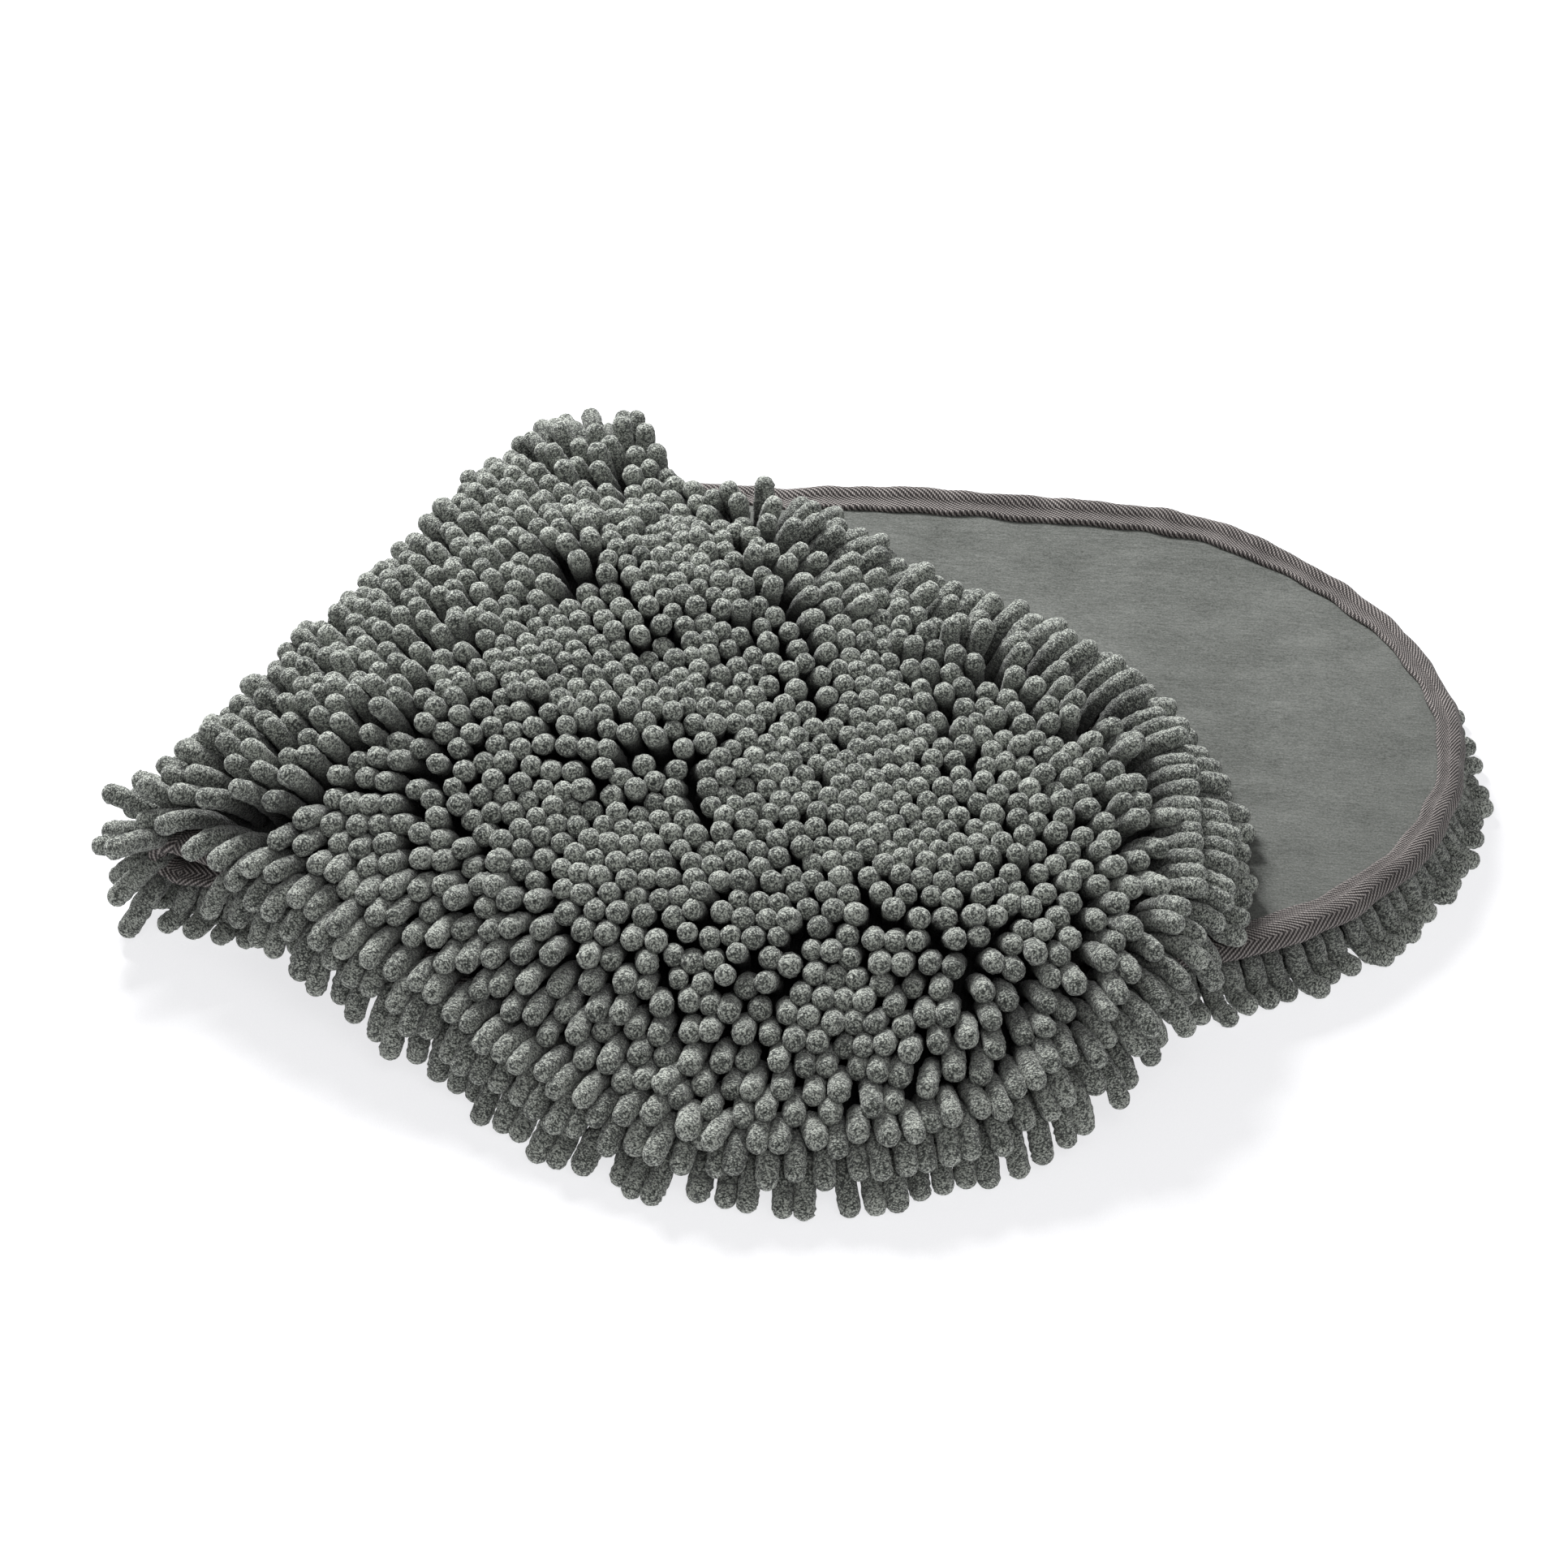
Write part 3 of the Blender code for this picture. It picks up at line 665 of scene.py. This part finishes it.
def add_lower_fingers(pile):
    """The pile of the lower half: pressed on the ground, and slanting out at the edge."""
    xy = half_roots(LOWER, LOWER_ROWS)
    out = LOWER.outward(xy)
    round_the_end = np.column_stack([-out[:, 1], out[:, 0]])
    from_edge = LOWER.edge_distance(xy)
    from_fold = fold_distance(xy)
    rim = fade(from_edge - LOWER_ROWS[0], 9 * MM)
    drift = unit(wave_pair(xy, 90 * MM, 21) + 0.5 * RANDOM.normal(size=xy.shape))
    drift = drift * (0.06 + 0.7 * (1 - rim) ** 2)[:, None]
    front_corner = bell(from_fold, 0, 70 * MM) * (LOWER.local(xy)[1] < 0) * rim
    over_fold = 1.05 * fade(from_fold, 13 * MM) + 0.6 * front_corner
    flat = out * (1.05 * rim + 0.5 * front_corner)[:, None]
    flat = flat + round_the_end * (0.4 * (rim - front_corner))[:, None]
    flat = flat + drift + FOLD_OUT * over_fold[:, None]
    down = -np.ones(len(xy))
    ways = unit(np.column_stack([flat * 0.8, down]))
    bends = unit(np.column_stack([flat * 1.2, down]))
    roots = np.column_stack([xy, LOWER.face.height(xy) - CLOTH])
    shown = (from_edge < 36 * MM) | (from_fold < 22 * MM)
    for label, pick, shape in (("lower", shown, SHOWN_FINGER), ("under", ~shown, HIDDEN_FINGER)):
        target = (label, LOWER.body, "chenille_pile_lower")
        pile.add(*target, roots[pick], ways[pick], bends[pick], shape)


def add_fold_fingers(pile):
    """Fingers that fan out round the fold, two rows on each segment and more at its front corner."""
    front = -np.sign(FOLD_DIR[1])
    for number, side in ((1, -1), (2, 1)):
        rows = [np.arange(-FOLD_HALF + start * MM, FOLD_HALF - 3 * MM, FINGER_PITCH) for start in (4.0, 7.6)]
        corner = front * (FOLD_HALF - np.array([2.5, 7.0, 12.0]) * MM)
        along = np.concatenate([*rows, corner])
        count = len(along)
        along = along + (number - 1) * FINGER_PITCH / 4 + RANDOM.normal(0, 0.5 * MM, count)
        turns = [np.full(len(rows[0]), 15.0), np.full(len(rows[1]), 48.0), [55.0, 4.0, 62.0]]
        turn = np.radians(side * np.concatenate(turns)) + RANDOM.normal(0, 0.08, count)
        way = np.cos(turn)[:, None] * OUT3 + np.sin(turn)[:, None] * UP
        end_fan = np.clip(np.abs(along) - (FOLD_HALF - 16 * MM), 0, None) / (16 * MM)
        lean = RANDOM.normal(0, 0.1, count) + np.sign(along) * 1.1 * end_fan
        way = unit(way + DIR3 * lean[:, None])
        roots = fold_point(along, turn, np.full(count, FOLD_RADIUS + CLOTH))
        scale = mix(1.0, 0.78, smooth((FOLD_HALF - front * along) / (45 * MM)))
        target = (f"fold_{number}", f"fold_segment_{number}", f"chenille_pile_fold_{number}")
        pile.add(*target, roots, way, unit(way - 0.2 * UP), SHOWN_FINGER, weights=0.35, scale=scale)


def pile_limits(points, radius, owner):
    """Keep nodes off the ground, cloth and tape; owner counts upper, lower, under and fold."""
    xy = points[:, :2]
    z = points[:, 2]
    upper = owner == 0
    lower = (owner == 1) | (owner == 2)
    inside = fold_distance(xy) > 0
    over_lower = (LOWER.edge_distance(xy) > -2 * MM) & inside
    over_upper = (UPPER.edge_distance(xy) > -1 * MM) & inside
    on_upper = UPPER.face.height(xy) + CLOTH + radius
    on_lower = LOWER.face.height(xy) + 3 * MM + radius
    under_lower = LOWER.face.height(xy) - CLOTH - radius
    z = np.where(upper & over_upper, np.maximum(z, on_upper), z)
    z = np.where(upper & ~over_upper & over_lower, np.maximum(z, on_lower), z)
    z = np.where(lower & over_lower, np.minimum(z, under_lower), z)
    return np.column_stack([xy, np.maximum(z, radius * 0.9)])


# Cloth


def thicken(thing, thickness, way, *materials):
    """Give an open sheet its thickness; a second material is for its far face."""
    for material in materials:
        thing.data.materials.append(material)
    solid = thing.modifiers.new("thickness", "SOLIDIFY")
    solid.thickness = thickness
    solid.offset = way
    solid.material_offset = len(materials) - 1
    solid.material_offset_rim = len(materials) - 1
    solid.use_even_offset = False
    view = bpy.context.evaluated_depsgraph_get()
    view.update()
    mesh = bpy.data.meshes.new_from_object(thing.evaluated_get(view))
    thing.modifiers.clear()
    thing.data = mesh
    mesh.shade_smooth()


def half_grid(half, spacing, from_fold=False):
    """Plan points in rows across a half, from its fold or its mouth to its round end."""
    inset = 1.5 * MM
    columns = int(2 * END_RADIUS / spacing)
    c = np.linspace(-1, 1, columns)
    rows = []
    if from_fold:
        near = c[:, None] * (FOLD_HALF - inset) * FOLD_DIR + FOLD_POINT
        far = half.plan(half.mouth, c * (END_RADIUS - inset))
        count = int(half.mouth / spacing)
        rows = [mix(near, far, t) for t in np.arange(count) / count]
    count = int((half.reach + END_RADIUS - half.mouth) / spacing)
    for along in np.linspace(half.mouth, half.reach + END_RADIUS, count):
        rows.append(half.plan(along, c * (END_RADIUS - inset)))
    return np.concatenate(rows), grid_quads(len(rows), columns)


def facing(quads, side):
    """Quads whose front is the smooth face."""
    return quads if side < 0 else quads[:, ::-1]


def half_sheet(name, half, xy, z, quads):
    """An open sheet over a half, cut off at the edge tape."""
    quads = quads[(half.edge_distance(xy) > SHEET_INSET)[quads].all(1)]
    used = np.unique(quads)
    number = np.zeros(len(xy), int)
    number[used] = np.arange(len(used))
    return make_mesh(name, np.column_stack([xy, z])[used], facing(number[quads], half.side))


def base_cloth(half, backing, pile_side):
    """The backing cloth that carries the fingers."""
    xy, quads = half_grid(half, 4 * MM, from_fold=True)
    z = half.face.height(xy) + half.side * 0.12 * MM * wave(xy, 16 * MM, 31)
    thing = half_sheet(f"base_cloth_{half.name}", half, xy, z, quads)
    thicken(thing, CLOTH, -1, backing, pile_side)
    place(thing, half.body, f"chenille_base_{half.name}")


def pocket_panel(half, material):
    """The smooth panel of the hand pocket, open at its mouth."""
    xy, quads = half_grid(half, 3.4 * MM)
    free = smooth((half.edge_distance(xy) - 11 * MM) / (20 * MM))
    crease = 0.35 * MM * wave(xy, 34 * MM, 41) + 0.18 * MM * wave(xy, 15 * MM, 42)
    z = half.panel.height(xy) - half.side * PANEL + half.side * free * np.abs(crease)
    name = f"pocket_panel_{half.name}"
    thing = half_sheet(name, half, xy, z, quads)
    thing.modifiers.new("detail", "SUBSURF").levels = 1
    thicken(thing, PANEL, 1, material)
    place(thing, half.body, name)


# Tape and thread


def tape_mesh(name, outline, thickness, along, line):
    """A folded tape as a closed mesh; line gives its points for one place of the section."""
    outer = np.array(outline) * MM
    run = np.gradient(outer, axis=0)
    inner = outer + unit(np.column_stack([run[:, 1], -run[:, 0]])) * thickness
    points = np.stack([line(inset, rise) for inset, rise in (*outer, *inner[::-1])], 1)
    rows, columns = points.shape[:2]
    k = np.arange(columns // 2 - 1)
    cap = np.stack([k, k + 1, columns - 2 - k, columns - 1 - k], -1)
    far_cap = (cap + (rows - 1) * columns)[:, ::-1]
    quads = np.concatenate([grid_quads(rows, columns, wrap=True)[:, ::-1], cap, far_cap])
    over = distances(outer)
    weave = {"along": np.repeat(along, columns), "over": np.tile([*over, *over[::-1]], rows)}
    return faced_out(make_mesh(name, points.reshape(-1, 3), quads, attributes=weave))


def faced_out(thing):
    """The piece with its faces outwards."""
    bm = bmesh.new()
    bm.from_mesh(thing.data)
    bmesh.ops.recalc_face_normals(bm, faces=bm.faces)
    bm.to_mesh(thing.data)
    bm.free()
    thing.data.shade_smooth()
    return thing


def edge_tape(edge, material):
    """Tape folded over the edge of one half, a little ruffled, and domed where it shows."""
    half = edge.half
    seed = 50 + half.side
    inner_wave = 0.5 * MM * noise_line(edge.s, (19, 26.5, 41), seed + 1)
    ruffle = 0.28 * MM * noise_line(edge.s, (11.5, 17.3, 29), seed + 2)
    roll = 0.45 * MM * noise_line(edge.s, (23, 37, 61), seed + 3)
    ends = smooth(edge.s / (10 * MM)) * smooth((edge.length - edge.s) / (10 * MM))
    share = edge.s / edge.length
    domed = smooth((0.42 - share) / 0.1) + 0.6 * smooth((share - 0.6) / 0.1)

    def line(inset, rise):
        """Points along the tape."""
        on_face = rise > FACE_RISE
        width = on_face * np.clip(inset / TAPE_LEG, 0, 1)
        shift = width * (inner_wave - edge.narrow) + (1 - width) * roll
        dome = 1.3 * MM * domed * bell(inset, 2.6 * MM, 2.2 * MM) * (rise > 0)
        lift = ruffle * (0.5 + 0.5 * (1 - width)) + dome
        return edge.point(inset + ends * shift, rise + ends * lift - on_face * edge.low)

    thing = tape_mesh(f"edge_tape_{half.name}", EDGE_OUTLINE, TAPE, edge.s, line)
    place(thing, half.body, f"edge_binding_{half.name}", material)


def mouth_tape(half, material):
    """Tape folded over the panel's edge at the mouth."""
    limit = END_RADIUS - 6 * MM
    across = np.linspace(-limit, limit, 110)
    wobble = 0.3 * MM * noise_line(across, (17, 29, 47), 70 + half.side)

    def line(inset, rise):
        """Points along the tape."""
        xy = half.plan(half.mouth + inset + wobble, across)
        under = half.plan(half.mouth + max(inset, 1 * MM), across)
        return np.column_stack([xy, half.panel.height(under) + half.side * rise])

    thing = tape_mesh(f"mouth_tape_{half.name}", MOUTH_OUTLINE, MOUTH_TAPE, across, line)
    place(thing, half.body, f"pocket_mouth_binding_{half.name}", material)


def threads(name, starts, ends, radius, bow=(0, 0, 0)):
    """Short threads from starts to ends, bowed one way, as one mesh."""
    count = len(starts)
    sides = 6
    share = np.array([0.0, 0.12, 0.5, 0.88, 1.0])
    width = radius * np.array([0.35, 0.95, 1.0, 0.95, 0.35])
    path = mix(starts[:, None], ends[:, None], share[:, None])
    path = path + np.multiply.outer(np.sin(np.pi * share), bow)
    tangent = unit(ends - starts)
    helper = np.where(np.abs(tangent[:, 2:3]) > 0.9, [[1.0, 0, 0]], [[0, 0, 1.0]])
    first = unit(np.cross(tangent, helper))
    second = np.cross(tangent, first)
    angle = np.linspace(0, 2 * np.pi, sides, endpoint=False)
    ring = np.cos(angle)[:, None] * first[:, None] + np.sin(angle)[:, None] * second[:, None]
    points = path[:, :, None] + ring[:, None] * width[:, None, None]
    block = len(share) * sides
    quads = repeated(grid_quads(len(share), sides, wrap=True), count, block)
    fan = np.array([(0, k, k + 1) for k in range(1, sides - 1)])
    fans = np.concatenate([fan, (fan + block - sides)[:, ::-1]])
    along = np.repeat(np.multiply.outer(np.linalg.norm(ends - starts, axis=1), share), sides)
    over = np.tile(angle / (2 * np.pi), count * len(share))
    yarn = {"along": along, "over": over}
    return faced_out(make_mesh(name, points.reshape(-1, 3), quads, repeated(fans, count, block), yarn))


def seam(name, half, ends, material):
    """A row of stitches on the smooth face."""
    thing = threads(name, *ends, THREAD, half.side * THREAD_BOW * UP)
    place(thing, half.body, name, material)


def edge_stitching(edge, material):
    """The seam near the tape's inner end, stitch by stitch."""
    at = np.arange(4 * MM, edge.length - 4 * MM, STITCH_PITCH)
    top = edge.point(8.8 * MM - 0.84 * edge.narrow, 1.8 * MM - edge.low)
    inward = np.column_stack([along_line(at, edge.s, edge.inward), np.zeros(len(at))])
    drift = RANDOM.normal(0, 0.1 * MM, (2, len(at), 1))
    ends = [along_line(at + (0, STITCH)[k], edge.s, top) + inward * drift[k] for k in range(2)]
    seam(f"edge_stitching_{edge.half.name}", edge.half, ends, material)


def mouth_stitching(half, material):
    """The seam that holds the mouth's tape."""
    limit = END_RADIUS - 14 * MM
    at = np.arange(-limit, limit, STITCH_PITCH)
    ends = []
    for offset in (0, STITCH):
        xy = half.plan(half.mouth + 7.8 * MM + RANDOM.normal(0, 0.08 * MM, len(at)), at + offset)
        ends.append(np.column_stack([xy, half.panel.height(xy) + half.side * 0.82 * MM]))
    seam(f"mouth_stitching_{half.name}", half, ends, material)


def bartack(half, end, material):
    """A zigzag of thread over three bars, which locks one end of the mouth."""
    name = f"bartack_{half.name}_{end}"
    low, high = node_points(name).min(0), node_points(name).max(0)
    along, across = half.local((low + high)[:2] / 2)
    top = high[2] if half.side > 0 else low[2]
    turns = 15
    reach = np.linspace(-3.8 * MM, 3.8 * MM, turns + 1)
    side = np.where(np.arange(turns + 1) % 2, 1.3 * MM, -1.3 * MM)
    zigzag = np.column_stack([half.plan(along + side, across + reach), np.full(turns + 1, top)])
    bars = along + np.array([-0.8, 0.0, 0.8]) * MM
    under = np.full(len(bars), top - half.side * 0.25 * MM)
    near, far = (np.column_stack([half.plan(bars, across + way * 3.9 * MM), under]) for way in (-1, 1))
    starts = np.concatenate([zigzag[:-1], near])
    ends = np.concatenate([zigzag[1:], far])
    place(threads(name, starts, ends, BARTACK_THREAD), half.body, name, material)


# Fold


def fold_place(thing, node):
    """Keep a piece fixed where it is, riding no hinge, in place of a CAD node."""
    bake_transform(thing)
    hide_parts(node)


def fold_cloth(number, backing, pile_side):
    """The backing cloth of one fold segment; the first reaches a little inside the second."""
    sign = -1 if number == 1 else 1
    rows = 14
    columns = 60
    angle = np.linspace(math.radians(90), -0.25 if number == 1 else 0.0, rows) * sign
    along = np.linspace(-FOLD_HALF + 1.5 * MM, FOLD_HALF - 1.5 * MM, columns)
    a, b = np.meshgrid(angle, along, indexing="ij")
    tuck = 0.25 * MM * smooth((0.15 + a) / 0.3) * (number == 1)
    points = fold_point(b, a, FOLD_RADIUS - tuck).reshape(-1, 3)
    quads = facing(grid_quads(rows, columns), sign)
    thing = make_mesh(f"base_cloth_fold_{number}", points, quads)
    thicken(thing, CLOTH, -1, backing, pile_side)
    fold_place(thing, f"chenille_base_fold_{number}")


def fold_tape(number, end, material):
    """The edge tape where it turns round the fold, bulging most at the front."""
    sign = -1 if number == 1 else 1
    front = -1 if end == "front" else 1
    angle = np.radians(np.linspace(90, 0, 22)) * sign
    bulge = (2.2 if end == "front" else 1.0) * MM * np.cos(angle) ** 2

    def line(inset, rise):
        """Points round the fold."""
        sink = TAPE_SINK * (rise > FACE_RISE)
        return fold_point(front * (FOLD_HALF - inset + 0.4 * bulge), angle, FOLD_RADIUS - rise + sink + bulge)

    name = f"edge_tape_fold_{end}_{number}"
    thing = tape_mesh(name, EDGE_OUTLINE, TAPE, FOLD_RADIUS * np.abs(angle), line)
    thing.data.materials.append(material)
    fold_place(thing, f"edge_binding_fold_{end}_{number}")


# Materials


class Graph:
    """Builds the nodes of a material or the world."""

    def __init__(self, tree):
        self.tree = tree

    def node(self, kind, *values, **settings):
        """A node; values go to inputs in order, settings to inputs or properties by name."""
        node = self.tree.nodes.new(kind)
        for key, value in [*enumerate(values), *settings.items()]:
            if isinstance(key, str) and key not in node.inputs:
                setattr(node, key, value)
            else:
                self.feed(node.inputs[key], value)
        return node

    def feed(self, socket, value):
        """Link an input or set its value."""
        if isinstance(value, bpy.types.NodeSocket):
            self.tree.links.new(value, socket)
        else:
            socket.default_value = value

    def math(self, operation, *values):
        """The output of a Math node."""
        return self.node("ShaderNodeMath", *values, operation=operation).outputs[0]

    def scaled(self, value, factor, rest):
        """value times factor plus rest."""
        return self.math("MULTIPLY_ADD", value, factor, rest)

    def wave(self, value, turns=1):
        """A sine with so many turns for one of value."""
        return self.math("SINE", self.math("MULTIPLY", value, turns * 2 * math.pi))

    def attribute(self, name):
        """A value stored on the mesh."""
        return self.node("ShaderNodeAttribute", attribute_name=name).outputs["Fac"]

    def place(self, stretch=(1, 1, 1)):
        """The place on the piece, which moves with it."""
        here = self.node("ShaderNodeTexCoord").outputs["Object"]
        return self.node("ShaderNodeMapping", Vector=here, Scale=stretch).outputs["Vector"]

    def noise(self, scale, detail=2.0, rough=0.5, stretch=(1, 1, 1)):
        """A noise value over the piece."""
        node = self.node("ShaderNodeTexNoise", Vector=self.place(stretch), Scale=scale)
        self.feed(node.inputs["Detail"], detail)
        self.feed(node.inputs["Roughness"], rough)
        return node.outputs["Fac"]

    def wound(self, kind, scale, **values):
        """A pattern that varies faster along a finger than around it, like wound yarn."""
        return self.node(kind, **values, Scale=scale, Vector=self.place(), W=self.attribute("depth"))

    def ramp(self, value, *stops):
        """The colour that stops of (position, colour) give a value."""
        node = self.node("ShaderNodeValToRGB", Fac=value)
        elements = node.color_ramp.elements
        while len(elements) < len(stops):
            elements.new(0.5)
        for element, (position, colour) in zip(elements, stops):
            element.position = position
            element.color = (*colour, 1)
        return node.outputs["Color"]


class Fabric(Graph):
    """A matte material."""

    def __init__(self, name):
        self.material = bpy.data.materials.new(name)
        self.material.use_nodes = True
        super().__init__(self.material.node_tree)
        self.shader = self.tree.nodes["Principled BSDF"]

    def finished(self, colour, height, depth, roughness, specular, sheen=0.1):
        """The material with its colour, bump and gloss."""
        bump = self.node("ShaderNodeBump", Strength=1.0, Distance=depth, Height=height)
        inputs = self.shader.inputs
        names = ("Base Color", "Normal", "Roughness", "Specular IOR Level", "Sheen Weight", "Sheen Roughness")
        for name, value in zip(names, (colour, bump.outputs["Normal"], roughness, specular, sheen, 0.5)):
            self.feed(inputs[name], value)
        return self.material


def chenille_material():
    """Plush yarn: light loops, painted shade in the creases between them, and painted shade that darkens each
    finger towards its root, near black where others shade it.
    """
    f = Fabric("chenille")
    four = {"noise_dimensions": "4D", "Detail": 2.0, "Roughness": 0.65}
    grain = f.wound("ShaderNodeTexNoise", 1900.0, **four).outputs["Fac"]
    loops = f.wound("ShaderNodeTexVoronoi", 1500.0, voronoi_dimensions="4D").outputs["Distance"]
    yarn = f.scaled(f.noise(750.0, 1.0), 0.3, f.scaled(loops, -0.5, grain))
    tone = f.scaled(f.attribute("tone"), 0.02, yarn)
    crease, body, loop = (0.030, 0.034, 0.031), (0.137, 0.149, 0.134), (0.620, 0.650, 0.590)
    # The crease colour is painted shade in the creases between loops; the loops' speckle itself is the yarn's
    # own texture.
    colour = f.ramp(tone, (0.14, crease), (0.32, body), (0.50, loop))
    # Painted shade: the colour is scaled by the light attribute, dark towards the roots.
    shade = f.node("ShaderNodeVectorMath", colour, operation="SCALE", Scale=f.attribute("light"))
    return f.finished(shade.outputs[0], yarn, 0.9 * MM, 0.95, 0.1, 0.35)


def tape_material():
    """Herringbone tape: a fine twill at its inner end, then ribs that turn back at a spine."""
    f = Fabric("herringbone_tape")
    along = f.attribute("along")
    over = f.attribute("over")
    twill, spine = 5.6 * MM, 10.4 * MM
    slope = f.math("MULTIPLY", f.math("MINIMUM", over, twill), 1 / (0.98 * MM))
    slope = f.scaled(f.math("PINGPONG", f.math("MAXIMUM", over, twill), spine), 1 / (1.25 * MM), slope)
    turns = f.scaled(along, 1 / (1.9 * MM), slope)
    rib = f.wave(f.scaled(f.noise(90.0), 1.2, turns))
    dash = f.wave(f.scaled(along, 1 / (0.85 * MM), f.math("MULTIPLY", slope, -0.5)))
    height = f.scaled(f.noise(1800.0), 0.40, f.scaled(dash, 0.13, f.scaled(rib, 0.34, 0.30)))
    shown = f.scaled(f.noise(60.0), 0.3, f.math("SUBTRACT", height, 0.15))
    # The ramp follows the bump's height: its dark stop is painted shade in the grooves between ribs, over the
    # weave's own herringbone pattern.
    dark, mid, light = (0.022, 0.018, 0.018), (0.100, 0.087, 0.084), (0.40, 0.365, 0.35)
    colour = f.ramp(shown, (0.15, dark), (0.5, mid), (0.95, light))
    return f.finished(colour, height, 0.5 * MM, 0.8, 0.25)


def suede_material():
    """Smooth microfibre with a brushed, slightly cloudy nap."""
    f = Fabric("suede")
    clouds = f.noise(38.0, 3.0, 0.6, (1, 1.6, 1))
    brushed = f.noise(240.0, 3.0, 0.6, (1, 3.5, 1))
    nap = f.noise(1500.0, 2.0, 0.65)
    mixed = f.scaled(nap, 0.65, f.scaled(brushed, 0.3, f.scaled(clouds, 0.35, -0.15)))
    dark, mid, light = (0.054, 0.058, 0.052), (0.108, 0.113, 0.105), (0.164, 0.170, 0.159)
    colour = f.ramp(mixed, (0.30, dark), (0.50, mid), (0.70, light))
    return f.finished(colour, f.scaled(nap, 0.5, brushed), 0.3 * MM, 0.92, 0.12, 0.15)


def knit_material(name, dark, light):
    """Backing cloth: fine columns of knit loops."""
    f = Fabric(name)
    x, y, _ = f.node("ShaderNodeSeparateXYZ", f.place()).outputs
    columns = f.math("ABSOLUTE", f.wave(y, 1 / (1.3 * MM)))
    rows = f.wave(f.scaled(columns, 0.5 * MM, x), 1 / (1.1 * MM))
    height = f.scaled(f.noise(1700.0), 0.35, f.scaled(rows, 0.13, f.scaled(columns, 0.3, 0.1)))
    colour = f.ramp(f.scaled(f.noise(45.0), 0.25, height), (0.2, dark), (0.85, light))
    return f.finished(colour, height, 0.3 * MM, 0.95, 0.1)


def thread_material():
    """Twisted sewing thread."""
    f = Fabric("thread")
    twist = f.scaled(f.attribute("along"), 1 / (0.8 * MM), f.attribute("over"))
    height = f.scaled(f.wave(twist, 2), 0.25, f.noise(3000.0))
    colour = f.ramp(height, (0.25, (0.075, 0.069, 0.068)), (0.8, (0.24, 0.225, 0.218)))
    return f.finished(colour, height, 0.2 * MM, 0.7, 0.3)


def floor_material():
    """Pale seamless paper, a little bright of itself."""
    f = Fabric("floor")
    tooth = f.noise(900.0)
    colour = f.ramp(tooth, (0.2, (0.33, 0.33, 0.335)), (0.8, (0.35, 0.35, 0.355)))
    f.feed(f.shader.inputs["Emission Color"], (0.98, 0.98, 1.0, 1))
    f.feed(f.shader.inputs["Emission Strength"], 0.74)
    return f.finished(colour, tooth, 0.05 * MM, 0.9, 0.1, 0.0)


# Stage


def add_studio():
    """A pale floor, and a world that looks white and gives a soft dim light."""
    bpy.ops.mesh.primitive_plane_add(size=12)
    floor = bpy.context.object
    floor.name = "floor"
    floor.data.materials.append(floor_material())
    seen, lit = 1.0, 0.3
    world = bpy.data.worlds.new("studio")
    bpy.context.scene.world = world
    world.use_nodes = True
    graph = Graph(world.node_tree)
    rays = graph.node("ShaderNodeLightPath").outputs["Is Camera Ray"]
    inputs = world.node_tree.nodes["Background"].inputs
    graph.feed(inputs["Color"], (1, 1, 1, 1))
    graph.feed(inputs["Strength"], graph.scaled(rays, seen - lit, lit))


def aim(thing, spot, way):
    """Put a light or camera at a spot, looking back along a way."""
    thing.location = spot
    thing.rotation_euler = (-way).to_track_quat("-Z", "Y").to_euler()
    bpy.context.scene.collection.objects.link(thing)


def add_light(name, spot, size, power):
    """A square light that shines on the mitt."""
    data = bpy.data.lights.new(name, "AREA")
    data.size = size
    data.energy = power
    aim(bpy.data.objects.new(name, data), spot, spot)


def add_camera(target, field, azimuth, elevation, distance):
    """The camera, with its angles in degrees."""
    data = bpy.data.cameras.new("camera")
    data.angle = math.radians(field)
    turn, lift = math.radians(azimuth), math.radians(elevation)
    way = Vector((math.sin(turn) * math.cos(lift), -math.cos(turn) * math.cos(lift), math.sin(lift)))
    camera = bpy.data.objects.new("camera", data)
    aim(camera, target + distance * way, way)
    bpy.context.scene.camera = camera
    bpy.context.scene.view_settings.view_transform = "Standard"


# Build


pile = Pile()
add_upper_fingers(pile)
add_lower_fingers(pile)
add_fold_fingers(pile)
pile.gather()
pile.settle()
pile.build(chenille_material())

backing = knit_material("backing", (0.075, 0.079, 0.074), (0.20, 0.207, 0.196))
# The pile side is the same knit made near black: painted shade for the dark deep among the fingers.
pile_side = knit_material("pile_side", (0.006, 0.006, 0.007), (0.03, 0.032, 0.03))
suede = suede_material()
herringbone = tape_material()
thread = thread_material()

for half in (LOWER, UPPER):
    edge = Edge(half)
    base_cloth(half, backing, pile_side)
    pocket_panel(half, suede)
    edge_tape(edge, herringbone)
    edge_stitching(edge, thread)
    mouth_tape(half, herringbone)
    mouth_stitching(half, thread)
    bartack(half, "front", thread)
    bartack(half, "back", thread)
for number in (1, 2):
    fold_cloth(number, backing, pile_side)
    fold_tape(number, "front", herringbone)
    fold_tape(number, "back", herringbone)

add_studio()
add_light("key", Vector((-0.5, 0.88, 0.9)), size=0.42, power=37.0)
add_light("fill", Vector((0.5, -1.0, 1.5)), size=1.0, power=6.0)
add_camera(Vector((0.0076, -0.019, 0.0)), field=24, azimuth=8.4, elevation=38, distance=1.17)
